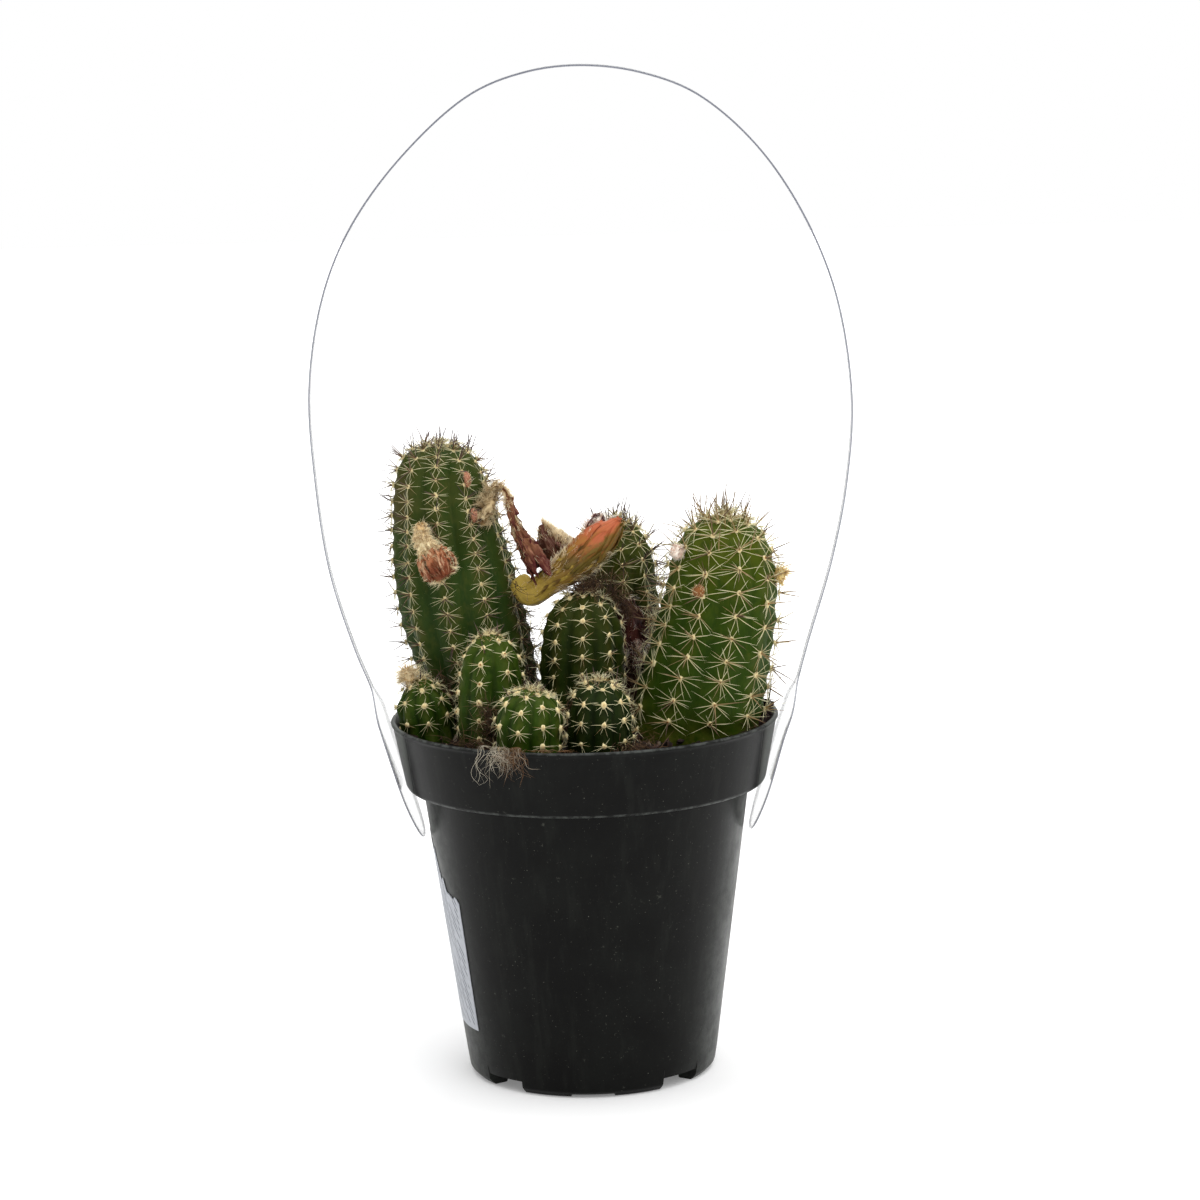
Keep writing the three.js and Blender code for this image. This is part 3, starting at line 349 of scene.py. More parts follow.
def plastic_material():
    """Dark satin pot plastic with seams, dust, scuffs, a dried water run down the front and painted sheen towards its
    sides.
    """
    f = Finish("pot_plastic", **{"Specular IOR Level": 0.09})
    axes = f.node("ShaderNodeSeparateXYZ", {0: f.place})
    x, y, z = axes.outputs
    grain = f.noise(0.25, 2.0)
    cloud = f.noise(14.0, 4.0, 0.6)
    streak = f.noise(4.0, 5.0, 0.65, f.stretched(1, 1, 0.12))
    side = f.math("ABSOLUTE", f.math("SUBTRACT", x, 0.001))
    front = f.remap(y, -0.02, -0.035)
    wet = f.math("MULTIPLY", f.remap(side, 0.009, 0.002), f.remap(streak, 0.42, 0.6))
    wet = f.math("MULTIPLY", f.math("MULTIPLY", wet, front), f.remap(z, 0.032, 0.05))
    colour = f.mix(f.remap(cloud, 0.35, 0.7), srgb(6, 6, 5), srgb(13, 14, 12))
    colour = f.mix(f.math("MULTIPLY", wet, 0.85), colour, srgb(4, 4, 3))
    lime = f.math("MULTIPLY", f.remap(f.noise(1.4, 6.0, 0.7), 0.62, 0.74), f.remap(cloud, 0.4, 0.6))
    colour = f.mix(f.math("MULTIPLY", lime, 0.3), colour, srgb(120, 122, 112))
    dust = f.remap(f.noise(0.45, 2.0, 0.6), 0.71, 0.78)
    colour = f.mix(f.math("MULTIPLY", dust, 0.5), colour, srgb(150, 150, 138))
    run = f.remap(streak, 0.5, 0.66)
    colour = f.mix(f.math("MULTIPLY", run, 0.22), colour, srgb(36, 38, 34))
    on_band = f.math("GREATER_THAN", z, (band_bottom_z + 0.4) * MM)
    climb = f.math("MULTIPLY", f.math("SUBTRACT", z, band_bottom_z * MM), (20.6 - 16.2) / (pot_height - band_bottom_z))
    seam_y = f.math("ADD", climb, 16.2 * MM)
    from_seam = f.math("ABSOLUTE", f.math("SUBTRACT", f.math("ABSOLUTE", y), seam_y))
    seam = f.math("MULTIPLY", f.remap(from_seam, 0.0004, 0.00015), on_band)
    # Paler, mottled plastic towards the pot's sides, past the seams on the band and below it: painted sheen standing in
    # for the white surroundings reflected at a grazing angle.
    past_seam = f.remap(f.math("SUBTRACT", seam_y, f.math("ABSOLUTE", y)), -0.001, 0.004)
    sheen_past_seam = f.math("MULTIPLY", past_seam, f.remap(f.math("ADD", grain, cloud), 0.8, 1.15, 0.3, 1.0))
    sheen_below_band = f.math("MULTIPLY", f.remap(f.math("ABSOLUTE", y), 0.026, 0.004), f.remap(f.noise(3.0, 5.0, 0.7), 0.35, 0.65, 0.3, 1.0))
    painted_side_sheen = f.node("ShaderNodeMix", {0: on_band, 2: f.math("MULTIPLY", sheen_below_band, 0.7), 3: sheen_past_seam}).outputs[0]
    colour = f.mix(f.math("MULTIPLY", painted_side_sheen, 0.65), colour, srgb(110, 114, 108))
    out = f.node("ShaderNodeVectorMath", {0: f.node("ShaderNodeCombineXYZ", {0: x, 1: y}).outputs[0]}, operation="LENGTH").outputs["Value"]
    lip = f.math("MULTIPLY", f.remap(z, (pot_height - 0.75) * MM, (pot_height - 0.35) * MM), f.remap(out, (rim_radius - 0.75) * MM, (rim_radius - 0.5) * MM))
    hem = f.math("MULTIPLY", f.remap(z, (band_bottom_z + 1.3) * MM, (band_bottom_z + 0.9) * MM), f.remap(out, (band_bottom_radius - 0.7) * MM, (band_bottom_radius - 0.4) * MM))
    worn = f.math("MULTIPLY", f.math("MAXIMUM", lip, hem), f.remap(f.noise(2.5, 4.0, 0.7), 0.38, 0.62, 0.05, 0.7))
    colour = f.mix(worn, colour, srgb(76, 79, 76))
    colour = f.mix(f.math("MULTIPLY", seam, 0.9), colour, srgb(5, 5, 5))
    rough = f.remap(f.math("ADD", cloud, f.math("MULTIPLY", streak, 0.4)), 0.4, 1.0, 0.3, 0.44)
    rough = f.math("SUBTRACT", rough, f.math("MULTIPLY", wet, 0.1))
    height = f.math("SUBTRACT", f.math("MULTIPLY", grain, 0.35), f.math("MULTIPLY", seam, 1.0))
    height = f.math("ADD", height, f.math("MULTIPLY", cloud, 1.2))
    return f.finish(colour=colour, roughness=rough, normal=f.bump(height, 0.12, 0.5))


def film_material():
    """Clear film: see-through, with a pale grey edge and a soft gloss."""
    f = Finish("clear_film", Roughness=0.08)
    edge = f.value("edge")
    faint = f.noise(3.0, 3.0)
    colour = f.mix(edge, srgb(150, 157, 149), srgb(112, 114, 128))
    alpha = f.math("ADD", f.remap(edge, 0.0, 1.0, 0.3, 0.8), f.math("MULTIPLY", faint, 0.1), clamp=True)
    return f.finish(colour=colour, alpha=alpha, normal=f.bump(faint, 0.05, 0.3))


def label_material():
    """Cool white paper with rows of plain grey bars."""
    f = Finish("label_paper", Roughness=0.55)
    across, up = f.value("across"), f.value("up")
    slanted = f.math("ADD", across, f.math("MULTIPLY", up, -0.2))
    column = f.math("MULTIPLY", slanted, 1 / 3.1)
    row = f.math("ADD", f.math("MULTIPLY", up, 1 / 1.75), f.math("MULTIPLY", across, -0.75))
    in_column = f.math("MULTIPLY", f.remap(f.math("FRACT", column), 0.1, 0.16), f.remap(f.math("FRACT", column), 0.88, 0.82))
    in_row = f.math("MULTIPLY", f.remap(f.math("FRACT", row), 0.3, 0.36), f.remap(f.math("FRACT", row), 0.78, 0.72))
    spot = f.node("ShaderNodeCombineXYZ", {0: f.math("FLOOR", column), 1: f.math("FLOOR", row)})
    some = f.node("ShaderNodeTexNoise", {"Vector": spot.outputs[0], "Scale": 0.73, "Detail": 1.0}).outputs["Fac"]
    ink = f.math("MULTIPLY", f.math("MULTIPLY", in_column, in_row), f.remap(some, 0.4, 0.44))
    margin = f.math("MULTIPLY", f.remap(across, 1.2, 1.5), f.remap(up, 1.2, 1.6))
    ink = f.math("MULTIPLY", ink, margin)
    paper = f.mix(f.noise(2.0, 5.0), srgb(188, 191, 197), srgb(158, 162, 169))
    colour = f.mix(f.math("MULTIPLY", ink, 0.85), paper, srgb(76, 80, 90))
    return f.finish(colour=colour, normal=f.bump(f.noise(0.6, 4.0), 0.05, 0.5))


def skin_material(name, crest, flank, valley, old, crown, seed, corky=0.5, patch=None):
    """A stem's skin: darker down the rib valleys as painted shade, greener at the crown, with corky and speckled
    patches.
    """
    f = Finish(name, **{"Specular IOR Level": 0.06})
    place = f.node("ShaderNodeMapping", {"Vector": f.place, "Location": (seed * 0.13, seed * 0.07, seed * 0.05)}).outputs["Vector"]
    out, rise, pad = f.value("crest"), f.value("rise"), f.value("pad")
    broad = f.noise(9.0, 3.0, 0.5, place)
    mottle = f.noise(1.6, 5.0, 0.65, place)
    fine = f.noise(0.35, 3.0, 0.6, place)
    run = f.node("ShaderNodeMapping", {"Vector": place, "Scale": (1, 1, 0.22)}).outputs["Vector"]
    lines = f.noise(0.9, 4.0, 0.6, run)
    height = f.math("ADD", out, f.math("MULTIPLY", f.math("SUBTRACT", broad, 0.5), 0.55))
    # From crest through flank to valley: the dark valley colour is painted shade in the rib grooves.
    colour = f.mix(f.remap(height, 0.05, 0.42), valley, flank)
    colour = f.mix(f.remap(height, 0.45, 1.0), colour, crest)
    cloud = f.noise(3.6, 4.0, 0.6, place)
    colour = f.mix(f.math("MULTIPLY", f.remap(mottle, 0.45, 0.7), 0.55), colour, valley)
    colour = f.mix(f.math("MULTIPLY", f.remap(cloud, 0.52, 0.72), 0.45), colour, crest)
    colour = f.mix(f.math("MULTIPLY", f.remap(lines, 0.5, 0.68), 0.4), colour, crest)
    colour = f.mix(f.math("MULTIPLY", f.remap(cloud, 0.45, 0.3), 0.45), colour, valley)
    young = f.math("MULTIPLY", f.remap(rise, 0.45, 0.95), f.remap(cloud, 0.25, 0.6))
    colour = f.mix(f.math("MULTIPLY", young, 0.8), colour, crown)
    foot = f.math("MULTIPLY", f.remap(rise, 0.24, 0.0), f.remap(mottle, 0.3, 0.6))
    colour = f.mix(f.math("MULTIPLY", foot, 0.75), colour, old)
    cork = f.math("MULTIPLY", f.remap(f.math("ADD", broad, f.math("MULTIPLY", mottle, 0.4)), 0.86, 0.98), corky)
    colour = f.mix(cork, colour, old)
    if patch:
        away = f.node("ShaderNodeVectorMath", {0: f.place, 1: [p * MM for p in patch[:3]]}, operation="DISTANCE")
        away = f.math("ADD", away.outputs["Value"], f.math("MULTIPLY", mottle, 6 * MM))
        colour = f.mix(f.math("MULTIPLY", f.remap(away, patch[3] * MM, 0.6 * patch[3] * MM), 0.5), colour, old)
    speck = f.remap(f.noise(0.8, 2.0, 0.5, place), 0.7, 0.76)
    colour = f.mix(f.math("MULTIPLY", speck, 0.45), colour, srgb(120, 122, 80))
    colour = f.mix(f.math("MULTIPLY", f.remap(pad, 0.25, 1.0), 0.35), colour, old)
    rough = f.remap(mottle, 0.3, 0.7, 0.4, 0.58)
    relief = f.math("ADD", f.math("MULTIPLY", fine, 0.5), f.math("MULTIPLY", lines, 0.6))
    relief = f.math("ADD", relief, f.math("MULTIPLY", mottle, 0.8))
    return f.finish(colour=colour, roughness=rough, normal=f.bump(relief, 0.16, 0.8))


def fibre_material(name, root, tip, dark, share=0.5, roughness=0.6, clear=0.0):
    """Wool, hairs and spines: from root to tip colour, with some strands darker."""
    f = Finish(name, Roughness=roughness, **{"Specular IOR Level": 0.25, "Subsurface Weight": clear, "Subsurface Scale": 0.001})
    colour = f.mix(f.remap(f.value("along"), 0.0, 0.8), root, tip)
    colour = f.mix(f.remap(f.value("tone"), 1 - share, 1.0), colour, dark)
    flecks = f.noise(0.5, 3.0)
    colour = f.mix(f.math("MULTIPLY", f.remap(flecks, 0.5, 0.75), 0.3), colour, root)
    return f.finish(colour=colour, normal=f.bump(flecks, 0.03, 0.4))


def petal_material(name, base, tip, vein_and_fold_highlight, roughness=0.5, clear=0.15, wrinkle=0.12, under=None, veined=0.6):
    """Petals and scales: from base to tip colour with fine lengthwise veins, under on the low side. On the dried petals
    the pale veins are painted highlights along the folds.
    """
    f = Finish(name, Roughness=roughness, **{"Specular IOR Level": 0.2, "Subsurface Weight": clear, "Subsurface Scale": 0.0015})
    along, turn_x, tone = f.value("along"), f.value("turn_x"), f.value("tone")
    cloud = f.noise(1.8, 4.0, 0.6)
    lengthwise = f.node("ShaderNodeCombineXYZ", {
        0: turn_x, 1: f.value("turn_y"), 2: f.math("ADD", f.math("MULTIPLY", along, 0.22), f.math("MULTIPLY", tone, 1.7))})
    veins = f.node("ShaderNodeTexNoise", {"Vector": lengthwise.outputs[0], "Scale": 5.5, "Detail": 4.0,
                                          "Roughness": 0.65, "Distortion": 0.4}).outputs["Fac"]
    mixed = f.math("ADD", along, f.math("MULTIPLY", f.math("SUBTRACT", cloud, 0.5), 0.7))
    colour = f.mix(f.remap(mixed, 0.15, 0.85), base, tip)
    if under:
        low_side = f.math("ADD", turn_x, f.math("MULTIPLY", mixed, 0.9))
        colour = f.mix(f.remap(low_side, 0.85, 0.2), colour, under)
    # Lengthwise veins; on the dried petals their pale colour is painted highlight along the folds.
    colour = f.mix(f.math("MULTIPLY", f.remap(veins, 0.5, 0.64), veined), colour, vein_and_fold_highlight)
    relief = f.math("ADD", f.math("MULTIPLY", veins, -1.4), f.math("MULTIPLY", cloud, 0.8))
    return f.finish(colour=colour, roughness=f.remap(cloud, 0.3, 0.7, roughness - 0.08, roughness + 0.1),
                    normal=f.bump(relief, wrinkle, 0.9))


def soil_material(name, dark, mid, light):
    """Damp peat and bark: crumbs of several browns with pale grit."""
    f = Finish(name, **{"Specular IOR Level": 0.25})
    crumb = f.noise(1.2, 6.0, 0.7)
    cloud = f.noise(5.0, 3.0)
    cells = f.node("ShaderNodeTexVoronoi", {"Vector": f.place, "Scale": 1 / (1.7 * MM)})
    colour = f.mix(f.remap(crumb, 0.35, 0.62), dark, mid)
    colour = f.mix(f.math("MULTIPLY", f.remap(f.value("tone"), 0.55, 1.0), 0.8), colour, light)
    colour = f.mix(f.math("MULTIPLY", f.remap(crumb, 0.62, 0.74), f.remap(cloud, 0.4, 0.6)), colour, light)
    relief = f.math("ADD", crumb, f.math("MULTIPLY", cells.outputs["Distance"], -0.5))
    return f.finish(colour=colour, roughness=f.remap(crumb, 0.3, 0.7, 0.7, 0.95), normal=f.bump(relief, 0.5, 0.9))


plastic = plastic_material()
film = film_material()
paper = label_material()
peat = soil_material("soil_mix", srgb(16, 11, 8), srgb(36, 26, 18), srgb(84, 68, 52))
chips = soil_material("bark_chips", srgb(26, 17, 15), srgb(56, 38, 33), srgb(150, 134, 116))
skin_dark = skin_material("skin_dark_green", srgb(66, 74, 28), srgb(44, 62, 20), srgb(38, 58, 20), srgb(86, 74, 44),
                          srgb(62, 68, 28), 1, 0.45, (-49, 7, 152, 13))
skin_center = skin_material("skin_center_green", srgb(54, 56, 18), srgb(33, 47, 8), srgb(20, 32, 4), srgb(56, 50, 24),
                            srgb(48, 54, 14), 2, 0.3)
skin_green = skin_material("skin_green", srgb(62, 74, 22), srgb(40, 62, 8), srgb(24, 42, 3), srgb(72, 68, 26),
                           srgb(58, 74, 18), 3, 0.3)
# A darker copy of the green skin for the small front stem that sits in the others' shadow: painted shade.
skin_shaded = skin_material("skin_green_in_painted_shade", srgb(34, 42, 12), srgb(20, 34, 5), srgb(10, 20, 2), srgb(38, 34, 16),
                          srgb(34, 46, 10), 6, 0.3)
skin_back = skin_material("skin_back_green", srgb(60, 62, 18), srgb(34, 44, 8), srgb(14, 20, 3), srgb(66, 60, 28),
                          srgb(64, 72, 18), 5, 0.3)
skin_bright = skin_material("skin_bright_green", srgb(56, 70, 13), srgb(40, 61, 6), srgb(34, 54, 5), srgb(84, 82, 26),
                            srgb(80, 88, 16), 4, 0.2)
wool_cream = fibre_material("areole_wool", srgb(190, 148, 88), srgb(236, 222, 172), srgb(140, 88, 38), 0.35, 0.8)
spine_cream = fibre_material("spines_cream", srgb(214, 202, 152), srgb(228, 222, 182), srgb(150, 124, 84), 0.35, 0.45)
spine_brown = fibre_material("spines_brown", srgb(124, 96, 70), srgb(84, 68, 68), srgb(62, 50, 54), 0.6, 0.5)
spine_tan = fibre_material("spines_tan", srgb(178, 150, 104), srgb(116, 94, 68), srgb(86, 66, 50), 0.5, 0.5)
wool_tan = fibre_material("wool_tan", srgb(212, 176, 120), srgb(252, 238, 198), srgb(156, 112, 66), 0.4, 0.85)
wool_pink = fibre_material("wool_pink", srgb(232, 190, 166), srgb(255, 246, 234), srgb(184, 128, 108), 0.25, 0.85)
wool_brown = fibre_material("wool_brown", srgb(168, 136, 90), srgb(226, 206, 164), srgb(96, 70, 46), 0.55, 0.85)
wool_yellow = fibre_material("wool_yellow", srgb(200, 152, 66), srgb(246, 226, 160), srgb(164, 110, 54), 0.4, 0.85)
wool_grey = fibre_material("wool_grey", srgb(228, 194, 144), srgb(255, 243, 210), srgb(176, 130, 88), 0.35, 0.85)
hair_brown = fibre_material("hair_brown", srgb(70, 50, 34), srgb(112, 86, 60), srgb(38, 26, 20), 0.6, 0.8)
root_fibre = fibre_material("root_fibre", srgb(160, 150, 128), srgb(206, 198, 178), srgb(104, 72, 42), 0.8, 0.8)
bud_green = petal_material("bud_skin", srgb(206, 176, 82), srgb(124, 94, 38), srgb(104, 80, 32), 0.45, 0.0, 0.12, None, 0.4)
bud_scale = petal_material("bud_scale", srgb(168, 140, 60), srgb(98, 72, 30), srgb(76, 56, 24), 0.45, 0.0, 0.1)
bud_sepal = petal_material("bud_sepal", srgb(118, 92, 36), srgb(150, 92, 48), srgb(84, 60, 28), 0.45, 0.0, 0.12,
                           srgb(98, 82, 30))
salmon = petal_material("petal_salmon", srgb(150, 112, 46), srgb(182, 96, 60), srgb(140, 64, 34), 0.45, 0.02, 0.12,
                        srgb(112, 90, 34), 0.5)
# Dried petals: the pale lengthwise veins are painted highlights along the folds, partly the petals' own pale streaks.
dried = petal_material("dried_petal", srgb(168, 110, 74), srgb(126, 66, 40), srgb(222, 190, 152), 0.6, 0.0, 0.3, None, 0.6)
maroon = petal_material("maroon_petal", srgb(84, 40, 34), srgb(50, 16, 14), srgb(120, 74, 62), 0.5, 0.0, 0.3, None, 0.4)
maroon_dried = petal_material("maroon_dried", srgb(118, 74, 48), srgb(76, 22, 22), srgb(176, 124, 94), 0.6, 0.0, 0.3, None, 0.45)
mauve = petal_material("mauve_petal", srgb(128, 84, 66), srgb(96, 58, 46), srgb(190, 152, 130), 0.6, 0.0, 0.3, None, 0.5)
bud_pink = petal_material("bud_pink", srgb(160, 108, 80), srgb(200, 138, 112), srgb(140, 74, 54), 0.5, 0.05, 0.1)
brown_scale = petal_material("brown_scale", srgb(132, 88, 46), srgb(150, 96, 52), srgb(86, 54, 32), 0.6, 0.0, 0.15)


# Pot
def rounded(outline, radius, steps=4):
    """The outline with each inner corner turned to a small arc."""
    points = np.array(outline, float)
    result = [points[0]]
    for before, corner, after in zip(points, points[1:], points[2:]):
        reach = min(radius, *(np.linalg.norm(corner - p) * 0.45 for p in (before, after)))
        a = corner + unit(before - corner) * reach
        b = corner + unit(after - corner) * reach
        for t in np.linspace(0, 1, steps + 1):
            result.append((1 - t) ** 2 * a + 2 * t * (1 - t) * corner + t * t * b)
    return np.array([*result, points[-1]])


def make_pot():
    outline = rounded([
        (0.4, foot_height + 0.5), (foot_inner_radius - 0.6, foot_height + 0.5), (foot_inner_radius, 0),
        (foot_radius, 0), (wall_foot_radius - 0.4, 1.6), (wall_foot_radius + 0.3, 6),
        (wall_top_radius, band_bottom_z + 0.4), (band_bottom_radius - 0.5, band_bottom_z + 0.4),
        (band_bottom_radius, band_bottom_z + 1.2), (rim_radius - 0.6, pot_height - 1.4),
        (rim_radius, pot_height - 0.6), (rim_radius - 0.5, pot_height), (rim_radius - wall, pot_height),
        (rim_radius - 0.8 - wall, pot_height - 1.4), (band_bottom_radius - wall, band_bottom_z + 2.4),
        (wall_top_radius - wall, band_bottom_z + 1.4), (wall_foot_radius + 0.3 - wall, floor_top_z + 2),
        (wall_foot_radius - 1.6 - wall, floor_top_z), (0.4, floor_top_z),
    ], 0.45)
    angles, lifts = [], []
    steps = 180
    cuts = [(quarter * 90 + middle, height) for quarter in range(4)
            for middle, height in ((0, recess_height), (notch_angle, foot_height))]
    marks = sorted({round(i * 360 / steps, 4) for i in range(steps)})
    for mark in marks:
        angles.append(mark)
        lifts.append(0.0)
    for middle, height in cuts:
        low, high = middle - notch_width / 2, middle + notch_width / 2
        for i, mark in enumerate(angles):
            turned = (mark - low) % 360
            if turned < high - low:
                lifts[i] = height
        for edge, inner in ((low, 0.02), (high, -0.02)):
            angles += [edge % 360, (edge + inner) % 360]
            lifts += [0.0, height]
    order = np.argsort(angles)
    angles, lifts = np.array(angles)[order], np.array(lifts)[order]
    keep = np.ones(len(angles), bool)
    for i in range(1, len(angles)):
        if angles[i] - angles[i - 1] < 0.3 and lifts[i] == lifts[i - 1]:
            keep[i] = False
    angles, lifts = angles[keep], lifts[keep]
    r = np.broadcast_to(outline[:, 0:1], (len(outline), len(angles)))
    z = np.maximum(outline[:, 1:2], lifts[None, :])
    rings = around(angles[None, :], r, z)
    out = Gather()
    add_skin(out, rings, (0, 0, foot_height + 0.5), (0, 0, floor_top_z))
    pot = make_piece("pot_body", out, plastic, "pot", sharp_angle=28)
    cutters = []
    for quarter in range(4):
        hole = Gather()
        turn = np.linspace(0, 2 * np.pi, 32, endpoint=False)
        middle = around(quarter * 90 + 45, drain_hole_circle, 0)
        ring = np.stack([np.cos(turn), np.sin(turn), 0 * turn], axis=-1) * drain_hole_radius + middle
        ends = [0, 0, floor_top_z - 3], [0, 0, floor_top_z + 3]
        add_skin(hole, np.stack([ring + end for end in ends]), middle + ends[0], middle + ends[1])
        cutters.append(make_piece(f"drain_{quarter}", hole, plastic))
    for cutter in cutters:
        cut = pot.modifiers.new("drain", "BOOLEAN")
        cut.object = cutter
        cut.operation = "DIFFERENCE"
        cut.solver = "EXACT"
    bpy.context.view_layer.update()
    cut_mesh = bpy.data.meshes.new_from_object(pot.evaluated_get(bpy.context.evaluated_depsgraph_get()))
    pot.modifiers.clear()
    pot.data = cut_mesh
    pot.data.name = "pot_body"
    pot.data.set_sharp_from_angle(angle=math.radians(28))
    for cutter in cutters:
        bpy.data.objects.remove(cutter)


def wall_radius_at(z):
    climb = (z - 6) / (band_bottom_z + 0.4 - 6)
    return wall_foot_radius + 0.3 + (wall_top_radius - wall_foot_radius - 0.3) * climb


def make_label():
    """A paper sticker on the wall, torn up towards the left at its top."""
    columns, rows = 130, 24
    draw = np.random.default_rng(31)
    part = np.linspace(0, 1, columns)
    angle = label_from_angle + (label_to_angle - label_from_angle) * part
    torn = value_at(torn_edge, part)
    ragged = np.convolve(draw.normal(size=columns + 4), np.ones(5) / 5, "valid") * 4.0 * np.sqrt(np.minimum(torn, 0.6) + 0.005)
    top = label_top_z + (label_torn_z - label_top_z) * torn + ragged
    climb = np.linspace(0, 1, rows)[:, None]
    z = label_bottom_z + (top[None, :] - label_bottom_z) * climb
    curl = 0.04 * smoothstep(climb, 0.93, 1.0) * torn[None, :]
    thickness = 0.16 - 0.12 * smoothstep(torn, 0.0, 0.6)
    radius = wall_radius_at(z) + 0.06 + curl + 0.02 * wobble(around(angle[None, :], 40.0, z), 3.0, 5)
    front = around(angle[None, :], radius + thickness, z)
    back = around(angle[None, :], radius, z)
    section = np.concatenate([front, back[:, ::-1]], axis=1)
    across = np.radians(angle - label_from_angle) * 36
    across = np.broadcast_to(across[None, :], z.shape)
    out = Gather()
    add_skin(out, section, section[0].mean(axis=0), section[-1].mean(axis=0),
             across=np.concatenate([across.max() - across, (across.max() - across)[:, ::-1]], axis=1),
             up=np.concatenate([z - label_bottom_z, (z - label_bottom_z)[:, ::-1]], axis=1))
    make_piece("label_sheet", out, paper, "label", sharp_angle=40)


def make_handle():
    """A strip of clear film: a paddle under the band at either end, a narrow strap between."""
    path = Path([(x, 0, z) for x, z in handle_path])
    round_end = paddle_width / 2
    near = np.concatenate([round_end * (1 - np.cos(np.linspace(0.12, np.pi / 2, 22))),
                           np.linspace(round_end, paddle_length + shoulder_length, 26)[1:]])
    middle = np.linspace(paddle_length + shoulder_length, path.length - paddle_length - shoulder_length, 180)
    places = np.concatenate([near, middle[1:-1], path.length - near[::-1]])
    from_end = np.minimum(places, path.length - places)
    bow = np.sqrt(np.maximum(round_end**2 - np.maximum(round_end - from_end, 0) ** 2, 1.0))
    narrowing = smoothstep(from_end, paddle_length, paddle_length + shoulder_length)
    half = bow + (strap_width / 2 - round_end) * narrowing
    middles = path.at(places)
    outward = np.cross(path.heading(places), [0, 1, 0])
    v = np.array([-1, -0.985, -0.95, -0.5, 0, 0.5, 0.95, 0.985, 1])
    lift = film_thickness / 2 * np.array([0.55, 1, 1, 1, 1, 1, 1, 1, 0.55])
    across = half[:, None, None] * v[None, :, None] * np.array([0, 1, 0])
    top = middles[:, None] + across + outward[:, None] * lift[None, :, None]
    low = middles[:, None] + across - outward[:, None] * lift[None, :, None]
    section = np.concatenate([top[:, ::-1], low], axis=1)
    rim = (np.abs(v) > 0.94).astype(float)
    tip = smoothstep(from_end, 0.9, 0.3)[:, None]
    strap = narrowing[:, None]
    edge = np.maximum(np.maximum(rim[None, :] * 0.9, tip), 0.1 * strap)
    out = Gather()
    add_skin(out, section, section[0].mean(axis=0), section[-1].mean(axis=0),
             edge=np.concatenate([edge[:, ::-1], edge], axis=1))
    make_piece("handle_film", out, film, "handle", sharp_angle=50)


# Soil
def make_soil():
    sides = 180
    turn = np.linspace(0, 360, sides, endpoint=False)
    edge_radius = rim_radius - 0.8 - wall - 0.45
    band_radius = band_bottom_radius - wall - 0.45
    edge = band_radius + (edge_radius - band_radius) * (soil_top_z - band_bottom_z - 2.6) / (pot_height - band_bottom_z - 4)
    side = [(wall_foot_radius - 2.2 - wall, floor_top_z + 0.35), (wall_foot_radius + 0.3 - wall - 0.35, floor_top_z + 2.6),
            (wall_top_radius - wall - 0.35, band_bottom_z + 1.75), (band_radius, band_bottom_z + 2.6)]
    rings = [around(turn, r, z) for r, z in side]
    for part in np.linspace(1, 0.02, 70):
        ring = around(turn, edge * part, soil_top_z - 0.6)
        lump = 1.1 * wobble(ring, 7.0, 2) + 0.7 * wobble(ring, 2.2, 3) + 0.35 * wobble(ring, 0.9, 4)
        ring[:, 2] += lump + 0.6 * part**6
        rings.append(ring)
    out = Gather()
    add_skin(out, np.array(rings), (0, 0, floor_top_z + 0.35), (0, 0, soil_top_z - 0.6))
    make_piece("soil_body", out, peat, "soil")

    draw = np.random.default_rng(71)
    chunk = Gather()
    shape, faces = ball(1)
    for _ in range(520):
        reach = edge * math.sqrt(draw.uniform(0.05, 0.98))
        size = 0.45 + 1.5 * draw.random() ** 2.5
        middle = around(draw.uniform(0, 360), reach, soil_top_z + 0.1 + 0.35 * size)
        half = size * np.array([draw.uniform(0.6, 1.3), draw.uniform(0.5, 1.0), draw.uniform(0.3, 0.7)])
        turned = random_turn(draw)
        rough = shape * (1 + 0.22 * draw.normal(size=(len(shape), 1)))
        chunk.add((rough * half) @ turned.T + middle, [faces], tone=draw.random() ** 2)
    for _ in range(230):
        angle = draw.uniform(70, 108)
        rise = draw.random() ** 0.7 * 7.2 * (1 - abs(angle - 89) / 20)
        size = draw.uniform(0.6, 1.3)
        middle = around(angle, draw.uniform(45.4, 48.2) + 0.8 * (rise > 3.8), soil_top_z + rise)
        half = size * np.array([draw.uniform(0.6, 1.4), draw.uniform(0.5, 1.0), draw.uniform(0.3, 0.8)])
        rough = shape * (1 + 0.25 * draw.normal(size=(len(shape), 1)))
        chunk.add((rough * half) @ random_turn(draw).T + middle, [faces], tone=0.4 * draw.random())
    make_piece("soil_chunks", chunk, chips, sharp_angle=35)


def ball(subdivisions):
    """Points and triangles of a unit ball."""
    import bmesh
    bm = bmesh.new()
    bmesh.ops.create_icosphere(bm, subdivisions=subdivisions, radius=1)
    points = np.array([v.co for v in bm.verts])
    faces = np.array([[v.index for v in f.verts] for f in bm.faces])
    bm.free()
    return points, faces


def random_turn(draw):
    axis = Vector(draw.normal(size=3)).normalized()
    return np.array(Matrix.Rotation(draw.uniform(0, 2 * math.pi), 3, axis))


